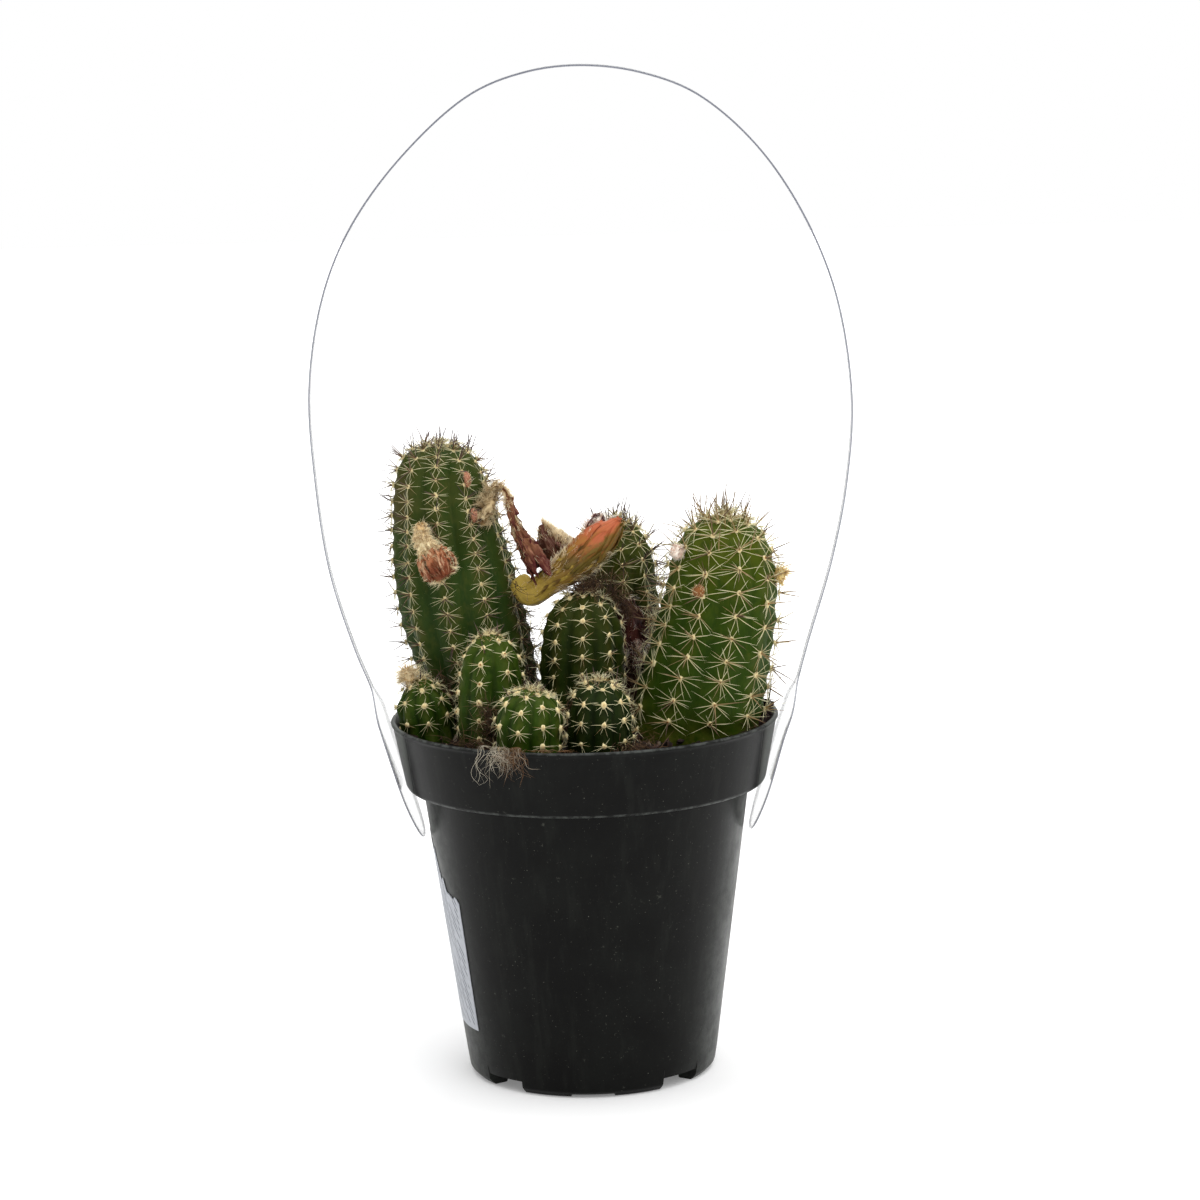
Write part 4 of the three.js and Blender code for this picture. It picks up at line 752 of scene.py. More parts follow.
# Stems: name, slot, skin, ribs, phase, twist, rib depth, axis and profile in millimetres
stem_table = [
    dict(name="stem_tall_left", dots=False, slot="stem_dark", skin=skin_dark, ribs=10, phase=-19, twist=18, depth=1.7,
         axis=[(-24.8, 13, 85), (-28.4, 13, 106), (-32.3, 12.5, 124), (-35, 12, 140), (-36.6, 11.5, 156),
               (-36.4, 11.5, 166.2)],
         profile=[(0, 14.4), (7, 15.2), (22, 15.6), (35, 16.2), (41, 16.2), (49, 15.6), (57, 14.6), (67, 13.1),
                  (73, 12.0), (78, 9.9), (81, 6.4), (82.4, 0)],
         pitch=4.6, crown_pitch=3.2, growth=62, pad=0.62, spine=4.2, central=5.6, sideways=(24, 4, -18, -44),
         upward=2, outward=3, width=0.09, brown=0.85, knob=0.45, carve=1.0, seed=11, per_rib=18, crown_wool=0.5),
    dict(name="stem_right", dots=True, slot="stem_bright", skin=skin_bright, ribs=10, phase=-30, twist=13, depth=1.3,
         axis=[(27.6, -7, 85), (29.6, -7, 96), (31.8, -7, 106), (34.3, -7, 116), (36.1, -7, 126),
               (36.9, -7, 137), (37.6, -7, 148.2)],
         profile=[(0, 15.9), (11, 16.6), (21, 16.1), (31, 15.4), (41, 14.8), (49, 13.9), (55, 12.3), (60, 9.5),
                  (62.9, 5.4), (64.3, 0)],
         pitch=5.7, crown_pitch=4.6, growth=20, pad=0.84, spine=7.0, central=7.6, sideways=(20, 3, -14, -36),
         upward=2, outward=3, width=0.11, brown=0.7, dark=spine_tan, knob=0.6, carve=0.45, seed=23, per_rib=16, crown_wool=1.0),
    dict(name="stem_back", dots=True, slot="stem_green", skin=skin_back, ribs=10, phase=6, twist=0, depth=1.1,
         axis=[(10.9, 22, 85), (10.4, 22, 110), (9.9, 22, 129), (9.6, 22, 143.8)],
         profile=[(0, 10.2), (12, 10.8), (25, 10.9), (36, 10.7), (44.5, 10.1), (52, 8.2), (56.5, 4.8), (58.8, 0)],
         pitch=4.2, crown_pitch=3.3, growth=12, pad=0.66, spine=5.2, central=6.2, sideways=(18, -6, -32),
         upward=2, outward=3, width=0.1, brown=0.75, knob=0.4, carve=0.9, seed=37, per_rib=14, crown_wool=0.9),
    dict(name="stem_center", dots=False, slot="stem_dark", skin=skin_center, ribs=9, phase=0, twist=0, depth=1.2,
         axis=[(-0.8, -3, 85), (-0.4, -3, 105), (0.1, -3, 119), (0.4, -3, 128.3)],
         profile=[(0, 10.3), (10, 10.9), (20, 11.0), (28, 10.8), (35, 9.9), (40, 7.2), (42.6, 3.6), (43.4, 0)],
         pitch=4.6, crown_pitch=3.4, growth=12, pad=0.72, spine=3.9, central=3.2, sideways=(16, -12, -38),
         upward=1, outward=0, width=0.09, brown=0.3, knob=0.4, carve=1.0, seed=41, per_rib=14, crown_wool=0.35),
    dict(name="stem_front_left", dots=True, slot="stem_green", skin=skin_green, ribs=7, phase=-17, twist=0, depth=1.1,
         axis=[(-24.7, -16, 86), (-24.2, -16, 102), (-23.9, -16, 112), (-23.8, -16, 119.9)],
         profile=[(0, 8.0), (9, 8.5), (17, 8.5), (23, 8.1), (28, 7.0), (31.6, 4.6), (33.3, 2.2), (33.9, 0)],
         pitch=4.9, crown_pitch=3.8, growth=10, pad=0.82, spine=3.9, central=3.2, sideways=(14, -14, -40),
         upward=1, outward=0, width=0.09, brown=0.2, knob=0.4, carve=0.85, seed=53, per_rib=14, crown_wool=0.3),
    dict(name="stem_small_left", dots=False, slot="stem_green", skin=skin_green, ribs=8, phase=5, twist=0, depth=1.0,
         axis=[(-39.6, -6, 86.5), (-40.6, -6, 93.5), (-42.0, -6, 100), (-42.6, -6, 106.9)],
         profile=[(0, 6.4), (5, 6.8), (8.5, 7.0), (12, 7.2), (15, 6.5), (18, 4.4), (19.9, 2.2), (20.7, 0)],
         pitch=5.2, crown_pitch=3.4, growth=9, pad=0.8, spine=3.9, central=3.2, sideways=(14, -14, -40),
         upward=1, outward=0, width=0.09, brown=0.2, knob=0.45, carve=0.9, seed=67, per_rib=12, crown_wool=0.3),
    dict(name="stem_small_front_left", dots=False, slot="stem_green", skin=skin_green, ribs=9, phase=-17, twist=0, depth=0.9,
         axis=[(-13.9, -32, 86), (-14.1, -32, 95), (-13.6, -32, 102), (-12.7, -32, 108)],
         profile=[(0, 8.1), (8, 8.5), (12.5, 8.7), (16.5, 8.0), (19.3, 6.4), (21.4, 3.4), (22.1, 0)],
         pitch=5.5, crown_pitch=3.2, growth=10, pad=0.86, spine=4.0, central=3.2, sideways=(14, -14, -40),
         upward=1, outward=0, width=0.09, brown=0.2, knob=0.5, carve=0.85, seed=71, per_rib=12, crown_wool=0.3),
    dict(name="stem_small_front_right", dots=False, slot="stem_dark", skin=skin_shaded, ribs=9, phase=8, twist=0, depth=0.9,
         axis=[(3.7, -29, 86), (3.8, -29, 97), (4.0, -29, 104), (4.4, -29, 109.6)],
         profile=[(0, 8.0), (8, 8.4), (13, 8.3), (17.5, 7.4), (20.8, 5.6), (22.9, 3.0), (23.6, 0)],
         pitch=5.4, crown_pitch=3.2, growth=10, pad=0.82, spine=4.0, central=3.2, sideways=(14, -14, -40),
         upward=1, outward=0, width=0.09, brown=0.2, knob=0.45, carve=0.9, seed=83, per_rib=12, crown_wool=0.3),
]


class Stem:
    """One ribbed stem: its surface, and the areoles along its ribs."""

    def __init__(self, row):
        self.row = row
        self.axis = Path(row["axis"])
        self.height = self.axis.length
        stretch = self.height / row["profile"][-1][0]
        self.outline = Path([(r, h * stretch) for h, r in row["profile"]])
        self.widest = max(r for _, r in row["profile"])
        self.draw = np.random.default_rng(row["seed"])
        rows, back = [], 0.9
        while back < self.outline.length - 3:
            rows.append(self.outline.length - back)
            grown = min(back / row["growth"], 1)
            back += row["crown_pitch"] + (row["pitch"] - row["crown_pitch"]) * grown
        self.rows = np.array(rows[::-1])
        stagger = self.draw.uniform(-0.22, 0.22, row["ribs"]) + 0.12 * (np.arange(row["ribs"]) % 2 * 2 - 1)
        jitter = self.draw.uniform(-0.05, 0.05, (row["ribs"], len(rows)))
        fade = np.clip((self.outline.length - self.rows) / 6, 0.1, 1)
        self.places = self.rows[None] + (stagger[:, None] + jitter) * row["pitch"] * fade[None]

    def frames(self, h):
        inside = np.clip(h, 0, self.height)
        tangent = self.axis.heading(inside)
        back, _ = cross_axes(tangent)
        return self.axis.at(inside), tangent, back, np.cross(back, tangent)

    def values(self, rib, s):
        """How far out towards a crest (1) or a valley (0), and how near an areole, at rib and distance."""
        rib, s = np.broadcast_arrays(np.asarray(rib, float), np.asarray(s, float))
        nearest = np.round(rib).astype(int) % self.row["ribs"]
        crest = 1 - np.abs(rib - np.round(rib)) * 2
        count = np.arange(self.places.shape[1])
        beat = np.zeros(rib.shape)
        for k in range(self.row["ribs"]):
            here = nearest == k
            if here.any():
                beat[here] = np.interp(s[here], self.places[k], count)
        near = 0.5 + 0.5 * np.cos(2 * np.pi * beat)
        return crest, near

    def point(self, rib, s, lift=0.0):
        rib, s = np.broadcast_arrays(np.asarray(rib, float), np.asarray(s, float))
        radius, h = np.moveaxis(self.outline.at(s), -1, 0)
        middle, _, back, right = self.frames(h)
        angle = np.radians(self.row["phase"] + self.row["twist"] * h / self.height + rib * 360 / self.row["ribs"])
        crest, near = self.values(rib, s)
        taper = np.clip(radius / (0.6 * self.widest), 0, 1)
        bump = self.row["knob"] * (near - 0.5) * crest**1.5 * taper
        groove = self.row["depth"] * self.row["carve"] * taper * (1 - crest) ** 1.6
        radius = np.maximum(radius - groove + bump + lift, 0.02)
        return middle + (right * np.sin(angle)[..., None] - back * np.cos(angle)[..., None]) * radius[..., None]

    def axes(self, rib, s):
        """Outward, up the stem and to the right, on the skin."""
        up = unit(self.point(rib, s + 0.3) - self.point(rib, s - 0.3))
        side = unit(self.point(rib + 0.06, s) - self.point(rib - 0.06, s))
        normal = unit(np.cross(side, up))
        return normal, unit(np.cross(normal, side)), side

    def holds(self, points, margin=0.0):
        """Which points lie inside this stem, or within a margin of it."""
        centres, _, _, _ = self.frames(np.linspace(0, self.height, 40))
        radii = np.interp(np.linspace(0, self.height, 40), self.outline.points[:, 1], self.outline.points[:, 0])
        gap = np.linalg.norm(points[..., None, :] - centres, axis=-1) - radii
        return gap.min(axis=-1) < margin

    def make(self):
        row = self.row
        columns = row["ribs"] * row["per_rib"]
        step = 0.65 if row["name"] in ("stem_tall_left", "stem_right") else 0.6
        rows = int(self.outline.length / step)
        s = self.outline.length * np.linspace(0, 0.996, rows)[:, None]
        rib = (np.arange(columns) / row["per_rib"])[None, :]
        crest, near = self.values(rib, s)
        base = self.point(rib, s)
        grain = 0.28 * wobble(base, 9.0, row["seed"]) + 0.10 * wobble(base, 2.0, row["seed"] + 1)
        grain = grain * np.clip(self.outline.at(s)[..., 0] / 4, 0, 1)
        base = self.point(rib, s, grain)
        out = Gather()
        pad = near**3 * smoothstep(crest, 0.6, 0.95)
        add_skin(out, base, self.axis.at(0.0), self.axis.at(self.height), crest=crest, rise=s / self.outline.length + 0 * crest, pad=pad)
        make_piece(row["name"] + "_skin", out, row["skin"], row["name"])


stems = [Stem(row) for row in stem_table]
areole_ball, areole_faces = ball(1)


class Spines:
    """Stiff spines gathered for one piece."""

    def __init__(self):
        self.paths, self.radii, self.tones = [], [], []

    def add(self, root, way, length, width, normal, draw):
        t = np.linspace(0, 1, 4)[:, None]
        bend = (-normal * 0.08 + draw.normal(size=3) * 0.06) * length
        self.paths.append(root + way * length * t + bend * t**2)
        self.radii.append(width * draw.uniform(0.8, 1.15))
        self.tones.append(draw.random())

    def make(self, name, material, slot, others):
        """The ones that don't run into a neighbour, the soil or the rim."""
        paths = np.array(self.paths)
        tips = paths[:, -1]
        reach = np.hypot(tips[:, 0], tips[:, 1])
        kept = tips[:, 2] > soil_top_z + 0.2
        kept &= (reach < rim_radius - 2.2) | (tips[:, 2] > pot_height + 0.4)
        for other in others:
            kept &= ~other.holds(tips, -0.3)
        out = Gather()
        add_strands(out, paths[kept], np.array(self.radii)[kept], np.array(self.tones)[kept], 3, 0.45)
        make_piece(name, out, material)


def dress_stem(stem):
    """Wool pads, their fuzz, and the spines of one stem."""
    row, draw = stem.row, stem.draw
    others = [other for other in stems if other is not stem]
    pads, painted_side_sheen, brown = Gather(), Spines(), Spines()
    total = stem.outline.length
    for rib in range(row["ribs"]):
        for s in stem.places[rib]:
            from_top = total - s
            if from_top < 2.2 and rib % 2:
                continue
            root = stem.point(float(rib), s)
            if root[2] < soil_top_z + 1.2 or any(other.holds(root[None], -0.4)[0] for other in others):
                continue
            normal, up, side = stem.axes(float(rib), s)
            crown = float(smoothstep(from_top, 0.30 * stem.widest + 4, 1.0))
            size = row["pad"] * draw.uniform(0.8, 1.1) * (1 - 0.15 * crown)
            half = size * np.array([0.9, 1.15, 0.55])
            lumps = areole_ball * (1 + 0.2 * draw.normal(size=(len(areole_ball), 1)))
            centre = np.clip(areole_ball[:, 2], 0, 1) ** 2
            pads.add((lumps * half) @ np.stack([side, up, normal]) + root + normal * size * 0.18, [areole_faces],
                     tone=draw.random() * 0.5, along=0.8 - 0.5 * centre)
            if row["dots"]:
                pads.add(areole_ball * size * 0.36 + root + normal * size * 0.52, [areole_faces], tone=1.0, along=0.0)
            spread = unit(draw.normal(size=(9, 3)) + normal * 1.1)
            paths = curled(root + normal * size * 0.15 + spread * size * 0.5, spread,
                           size * draw.uniform(0.4, 0.9, 9), draw, 3, 0.5)
            add_strands(pads, paths, np.full(9, 0.05), draw.random(9) * 0.8, 3)
            top = root + normal * size * 0.2
            fan = [(a, 1.0) for a in row["sideways"]] + [(180 - a, 1.0) for a in row["sideways"]]
            fan += [(-72, 0.92), (-106, 0.92)] + [(58, 0.7), (118, 0.62)][:row["upward"]]
            for heading, share in fan:
                if draw.random() < 0.08:
                    continue
                a = math.radians(heading + draw.normal() * 7)
                rise = math.radians(16 + draw.normal() * 7 + 30 * crown)
                way = (side * math.cos(a) + up * math.sin(a)) * math.cos(rise) + normal * math.sin(rise)
                length = row["spine"] * share * draw.uniform(0.75, 1.12) * (1 - 0.25 * crown)
                (brown if draw.random() < 0.2 * crown else painted_side_sheen).add(top, way, length, row["width"], normal, draw)
            for _ in range(row["outward"] + int(draw.random() < 0.4)):
                if draw.random() < 0.7 * crown:
                    continue
                way = unit(normal + draw.normal(size=3) * 0.42 + up * (0.1 + 0.4 * crown))
                length = row["central"] * draw.uniform(0.75, 1.2)
                dark = draw.random() < row["brown"] + 0.3 * crown
                (brown if dark else painted_side_sheen).add(top, way, length, row["width"] * (1.8 if dark else 0.85), normal, draw)
    crown_tuft(stem, pads, brown)
    make_piece(row["name"] + "_areoles", pads, wool_cream)
    painted_side_sheen.make(row["name"] + "_spines", spine_cream, row["slot"], others)
    brown.make(row["name"] + "_dark_spines", row.get("dark", spine_brown), row["slot"], others)


def crown_tuft(stem, pads, brown):
    """Wool and upright spines at a stem's growing tip."""
    row, draw = stem.row, stem.draw
    total = stem.outline.length
    count = int(260 * row["crown_wool"] * stem.widest / 15) + 30
    rib = draw.uniform(0, row["ribs"], count)
    s = total - 0.3 - (0.4 * stem.widest + 0.6) * draw.random(count) ** 0.7
    roots = stem.point(rib, s)
    normal, _, _ = stem.axes(rib, s)
    ways = unit(normal + 0.7 * draw.normal(size=(count, 3)))
    hairs = curled(roots, ways, draw.uniform(0.7, 1.6, count), draw, 4, 0.6)
    add_strands(pads, hairs, np.full(count, 0.06), draw.random(count), 3)
    count = int(9 * row["crown_wool"] + 4)
    rib = np.arange(count) * row["ribs"] / count + draw.uniform(-0.3, 0.3, count)
    s = total - stem.widest * draw.uniform(0.15, 0.9, count)
    roots = stem.point(rib, s)
    normal, _, _ = stem.axes(rib, s)
    for i in range(count):
        way = unit(normal[i] + draw.normal(size=3) * 0.22 + np.array([0, 0, 0.4]))
        brown.add(roots[i], way, row["central"] * draw.uniform(1.1, 1.6), row["width"] * 1.8, normal[i], draw)


# Blooms and buds
by_name = {stem.row["name"]: stem for stem in stems}


def beside(name, z, degrees, standoff):
    """A point on a stem's side at a height, or standing off it."""
    stem = by_name[name]
    h = z - stem.row["axis"][0][2]
    for _ in range(4):
        h += z - stem.axis.at(h)[2]
    radius = np.interp(h, stem.outline.points[:, 1], stem.outline.points[:, 0]) + standoff
    middle, _, back, right = stem.frames(h)
    a = math.radians(degrees)
    return tuple(middle + (right * math.sin(a) - back * math.cos(a)) * radius)


class Bloom:
    """A round body along a path; sizes are (part of its length, radius)."""

    def __init__(self, points, sizes, seed):
        self.path = Path(points)
        self.sizes = sizes
        self.seed = seed
        self.draw = np.random.default_rng(seed)

    def ways(self, part, degrees):
        part, degrees = np.broadcast_arrays(np.asarray(part, float), np.asarray(degrees, float))
        heading = self.path.heading(np.clip(part, 0.02, 0.98) * self.path.length)
        back, right = cross_axes(heading)
        a = np.radians(degrees)[..., None]
        return right * np.cos(a) + back * np.sin(a), heading

    def at(self, part, degrees, share=1.0, lift=0.0):
        part, degrees = np.broadcast_arrays(np.asarray(part, float), np.asarray(degrees, float))
        way, heading = self.ways(part, degrees)
        past = np.maximum(part - 1, 0)[..., None] + np.minimum(part, 0)[..., None]
        middle = self.path.at(np.clip(part, 0, 1) * self.path.length) + heading * past * self.path.length
        return middle + way * (value_at(self.sizes, part) * share + lift)[..., None]

    def turned(self, degrees):
        return {"turn_x": np.cos(np.radians(degrees)), "turn_y": np.sin(np.radians(degrees))}

    def core(self, out, share=0.9, crumple=0.12, folds=0, fold_depth=0.0, twist=0.0, rows=30, columns=30, lump=1.6):
        """The closed body itself, crumpled and folded lengthwise."""
        part = np.linspace(0, 1, rows)[:, None]
        degrees = np.linspace(0, 360, columns, endpoint=False)[None]
        base = self.at(part, degrees)
        wave = np.radians(folds * (degrees + twist * part)) + 2.5 * wobble(base, 4.0, self.seed + 1)
        rough = crumple * wobble(base, lump, self.seed) + fold_depth * (1 - 2 * np.abs(np.sin(wave / 2)))
        skin = self.at(part, degrees, share * (1 + rough))
        add_skin(out, skin, self.at(0.0, 0.0, 0.0), self.at(1.0, 0.0, 0.0), along=part + 0 * degrees, tone=0.5,
                 **self.turned(degrees))

    def hairs(self, out, count, parts, length, lean=0.3, spread=0.5, curl=0.5, width=0.08, drop=0.0, sink=0.8,
              degrees=(0, 360), steps=5, locks=0):
        """Soft hairs from the surface, in locks or evenly; lean tips them along the path."""
        draw = self.draw
        part, turn = draw.uniform(*parts, count), draw.uniform(*degrees, count)
        tilt, tone, owner = draw.normal(size=(count, 3)), draw.random(count), None
        if locks:
            owner = draw.integers(0, locks, count)
            part = part[owner] + 0.025 * draw.normal(size=count)
            turn = turn[owner] + 8 * draw.normal(size=count)
            tilt = tilt[owner] + 0.25 * tilt
            tone = 0.6 * tone[owner] + 0.4 * tone
        way, heading = self.ways(part, turn)
        going = unit(way + heading * lean + spread * tilt)
        roots = self.at(part, turn, sink)
        paths = curled(roots, going, draw.uniform(*length, count), draw, steps, curl, drop, owner)
        add_strands(out, paths, width * draw.uniform(0.7, 1.3, count), tone, 3)

    def leaf(self, out, parts, degrees, half, lift, slope=0.0, twist=0.0, tip_lift=0.0, crumple=0.0, rows=12,
             across=6, thickness=0.22, blunt=0.7, tone=0.5):
        """A petal or scale that hugs the body from one part of it to another."""
        t = np.linspace(0, 1, rows)[:, None]
        v = np.linspace(-1, 1, across + 1)[None]
        part = parts[0] + (parts[1] - parts[0]) * t
        shape = np.sin(np.pi * np.clip(t * 0.86 + 0.14, 0, 1) ** 1.15) ** blunt
        width = half * np.maximum(shape, 0.03)
        round_at = np.maximum(value_at(self.sizes, np.clip(part, 0, 1)), 0.8)
        turn = degrees + twist * t + np.degrees(v * width / round_at)
        raised = lift + slope * v + tip_lift * t**2
        face = self.at(part, turn, 1.0, raised)
        if crumple:
            way, _ = self.ways(part, turn)
            face = face + way * (crumple * wobble(face, 1.3, self.seed + int(degrees)))[..., None]
        way, _ = self.ways(part, turn)
        depth = way * thickness * 0.5
        section = np.concatenate([face - depth, (face + depth)[:, ::-1]], axis=1)
        add_skin(out, section, section[0].mean(axis=0), section[-1].mean(axis=0),
                 along=t + 0 * section[..., 0], tone=tone, **self.turned(np.concatenate([turn, turn[:, ::-1]], axis=1)))


def make_bud():
    tube = Bloom([beside("stem_tall_left", 127.2, 69, 1.6), (-13.4, 3.6, 126.8), (-8.2, 0.6, 130.5),
                  (-3.2, -2.4, 134.1), (0.6, -4.2, 137.8)],
                 [(0, 2.5), (0.04, 3.1), (0.14, 3.4), (0.3, 3.3), (0.5, 3.5), (0.8, 4.2), (1, 4.3)], 101)
    out, scales, fuzz = Gather(), Gather(), Gather()
    tube.core(out, 0.97, 0.035, 9, 0.045, 60, 64, 48, 2.4)
    for i in range(60):
        start = 0.28 + 0.76 * (i / 60) ** 0.9
        turn = i * 137.5 + 14 * tube.draw.normal()
        reach = (0.15 + 0.12 * i / 60) * tube.draw.uniform(0.6, 1.4)
        half = (0.36 + 0.35 * i / 60) * tube.draw.uniform(0.7, 1.3)
        tube.leaf(scales, (start, start + reach), turn, half, -0.04, 0.0, 8 * tube.draw.normal(), 0.3 * tube.draw.random(),
                  0.1, 10, 4, 0.14, 0.8, i / 60)
    make_piece("bud_tube_skin", out, bud_green, "bud_tube")
    make_piece("bud_scales", scales, bud_scale)
    for low_edge, high_edge in ((-70, 60), (120, 235)):
        tube.hairs(fuzz, 300, (0.4, 1.0), (1.4, 3.4), 1.6, 0.3, 0.3, 0.05, 0.0, 0.98, (low_edge, high_edge), locks=60)
    tube.hairs(fuzz, 90, (0.05, 0.4), (0.4, 1.0), 0.9, 0.5, 0.4, 0.04, 0.0, 0.98)
    make_piece("bud_hairs", fuzz, wool_grey)

    crown = Bloom([(1.0, -4.4, 138.1), (4.4, -6, 141.4), (7.8, -7.2, 144.6), (10.4, -7.8, 147.2)],
                  [(0, 4.1), (0.3, 4.2), (0.6, 3.5), (0.85, 2.1), (1, 1.0)], 103)
    petals, sepals = Gather(), Gather()
    crown.core(petals, 0.9, 0.02, 5, 0.04, 90, 34, 34)
    for i in range(5):
        crown.leaf(petals, (-0.05, 1.04), i * 72 + 24 + 8 * crown.draw.normal(), 3.4, 0.0, 0.5, 46, -0.1, 0.2, 24, 8, 0.3, 0.5,
                   0.2 * i)
    for i in range(7):
        crown.leaf(petals, (-0.15, 0.7 + 0.32 * crown.draw.random()), i * 51 + 10 * crown.draw.normal(), 1.5, 0.3, 0.35, 30,
                   0.2, 0.2, 20, 6, 0.22, 0.6, 0.14 * i)
    for i in range(15):
        low_side = 0.5 - 0.5 * math.cos(math.radians(i * 24))
        turn = i * 24 + 6 * crown.draw.normal()
        crown.leaf(sepals, (-0.35, 0.05 + 0.5 * low_side + 0.25 * crown.draw.random()), turn,
                   0.8 * crown.draw.uniform(0.6, 1.3), 0.4, 0.12, 12 * crown.draw.normal(), 0.3, 0.16, 16, 4, 0.18, 0.7, i / 15)
    make_piece("bud_petal_leaves", petals, salmon, "bud_petals")
    make_piece("bud_sepals", sepals, bud_sepal)
    fuzz = Gather()
    for low_edge, high_edge in ((-60, 60), (130, 235)):
        crown.hairs(fuzz, 110, (-0.3, 0.5), (1.2, 3.0), 1.8, 0.3, 0.3, 0.045, 0.0, 1.05, (low_edge, high_edge), locks=26)
    make_piece("bud_petal_hairs", fuzz, wool_grey)


def make_front_bloom():
    wool = Bloom([beside("stem_tall_left", 147.6, -20, 2.2), beside("stem_tall_left", 144.2, -17.5, 3.7),
                  beside("stem_tall_left", 140.6, -12.5, 4.4)],
                 [(0, 1.5), (0.3, 2.2), (0.7, 2.9), (0.9, 3.1), (1, 1.6)], 107)
    out = Gather()
    wool.core(out, 0.74, 0.3, rows=40, columns=40, lump=1.1)
    wool.hairs(out, 2200, (-0.05, 0.95), (0.7, 1.9), 0.9, 0.5, 0.7, 0.075, 0.0, 0.72, steps=4, locks=420)
    make_piece("front_bloom_fleece", out, wool_tan, "front_bloom_wool")
    face = Bloom([beside("stem_tall_left", 140.6, -11.5, 5.4), beside("stem_tall_left", 134.7, -2.5, 5.9)],
                 [(0, 3.1), (0.25, 3.9), (0.6, 4.1), (0.88, 3.2), (1, 2.1)], 109)
    out, rim = Gather(), Gather()
    face.core(out, 0.8, 0.14, 7, 0.18, 60, 50, 60, 1.3)
    for i in range(30):
        turn = i * 137.5
        face.leaf(out, (-0.15 + 0.25 * face.draw.random(), 0.75 + 0.32 * face.draw.random()), turn,
                  0.7 + 0.6 * face.draw.random(), -0.35 + 0.5 * face.draw.random(), 0.5 * face.draw.normal(),
                  30 * face.draw.normal(), 0.1, 0.5, 22, 5, 0.2, 0.5, face.draw.random())
    make_piece("front_bloom_folds", out, dried, "front_bloom_petals")
    face.hairs(rim, 700, (-0.15, 1.0), (1.2, 2.3), 0.5, 0.4, 0.5, 0.06, 0.0, 0.8, (20, 160), steps=4, locks=80)
    face.hairs(rim, 420, (-0.2, 0.3), (1.0, 2.2), 1.0, 0.4, 0.5, 0.06, 0.0, 0.85, locks=70)
    for low_edge, high_edge in ((-25, 30), (150, 205)):
        face.hairs(rim, 260, (0.1, 1.05), (1.0, 2.2), 0.5, 0.4, 0.5, 0.055, 0.0, 0.85, (low_edge, high_edge), locks=50)
    make_piece("front_bloom_rim_hairs", rim, wool_tan)


def make_side_wool():
    tuft = Bloom([beside("stem_tall_left", 153.2, 62, 2.6), beside("stem_tall_left", 150, 55, 2.4),
                  beside("stem_tall_left", 146.4, 44, 1.2)],
                 [(0, 1.0), (0.3, 1.7), (0.7, 1.6), (1, 0.9)], 113)
    out = Gather()
    tuft.core(out, 0.7, 0.4, rows=22, columns=22, lump=1.0)
    tuft.hairs(out, 900, (-0.2, 1.15), (1.4, 3.6), -0.2, 0.7, 0.8, 0.09, 0.1, 0.6, steps=6, locks=64)
    place = tuft.draw.random(150)[:, None]
    roots = tuft.at(0.1, 0.0, 0.3) * (1 - place) + np.array([-21.6, 2.6, 155.6]) * place
    roots = roots + 0.5 * tuft.draw.normal(size=(150, 3))
    going = unit(np.array([0.8, 0, 0.5]) + 0.6 * tuft.draw.normal(size=(150, 3)))
    owner = tuft.draw.integers(0, 24, 150)
    add_strands(out, curled(roots, going, tuft.draw.uniform(1.4, 3.6, 150), tuft.draw, 8, 0.8, 0.0, owner),
                np.full(150, 0.09), tuft.draw.random(150), 3)
    make_piece("side_wool_fleece", out, wool_brown, "side_wool")


def make_hanging_bloom():
    body = Bloom([(-23, 2.8, 155), (-21.2, 2.4, 155.9), (-19.2, 1.6, 154.6), (-18.4, 0.8, 151.2),
                  (-16.9, 0.2, 146.2), (-14.6, -0.4, 141.2), (-12.4, -1, 137.2), (-10.9, -1.6, 134.6)],
                 [(0, 0.6), (0.2, 0.8), (0.4, 1.1), (0.65, 1.6), (0.85, 2.3), (1, 2.4)], 127)
    out, fuzz = Gather(), Gather()
    body.core(out, 0.55, 0.3, 4, 0.25, 300, 110, 26, 1.1)
    for i in range(34):
        start = 0.22 + 0.5 * body.draw.random()
        body.leaf(out, (start, min(start + 0.2 + 0.25 * body.draw.random(), 1.06)), i * 137.5, 0.3 + 0.35 * body.draw.random(),
                  -0.35 + 0.5 * body.draw.random(), 0.3 * body.draw.normal(), 60 * body.draw.normal(), 0.5 * body.draw.random(),
                  0.4, 18, 4, 0.14, 0.5, body.draw.random())
    for i in range(11):
        body.leaf(out, (0.62 + 0.08 * body.draw.random(), 1.05 + 0.1 * body.draw.random()), i * 137.5 + 30,
                  0.9 + 0.4 * body.draw.random(), 0.05, 0.35, 50 * body.draw.normal(), 0.6, 0.5, 22, 5, 0.16, 0.5, body.draw.random())
    make_piece("hanging_bloom_petals", out, maroon_dried, "hanging_bloom")
    body.hairs(fuzz, 520, (0.0, 0.34), (0.8, 2.2), 0.5, 0.6, 0.7, 0.06, 0.1, 0.6, locks=40)
    body.hairs(fuzz, 330, (0.3, 0.9), (1.0, 3.2), 1.8, 0.4, 0.4, 0.05, 0.1, 0.8, locks=50)
    make_piece("hanging_bloom_hairs", fuzz, wool_tan)
    curls, threads = 12, Gather()
    starts = body.at(body.draw.uniform(0.8, 0.95, curls), body.draw.uniform(0, 360, curls), 0.8)
    going = unit(np.array([-0.9, -0.1, -0.5]) + 0.4 * body.draw.normal(size=(curls, 3)))
    add_strands(threads, curled(starts, going, body.draw.uniform(2.4, 5.0, curls), body.draw, 10, 1.0, 0.3),
                np.full(curls, 0.09), np.full(curls, 0.9), 3)
    make_piece("hanging_bloom_threads", threads, hair_brown)


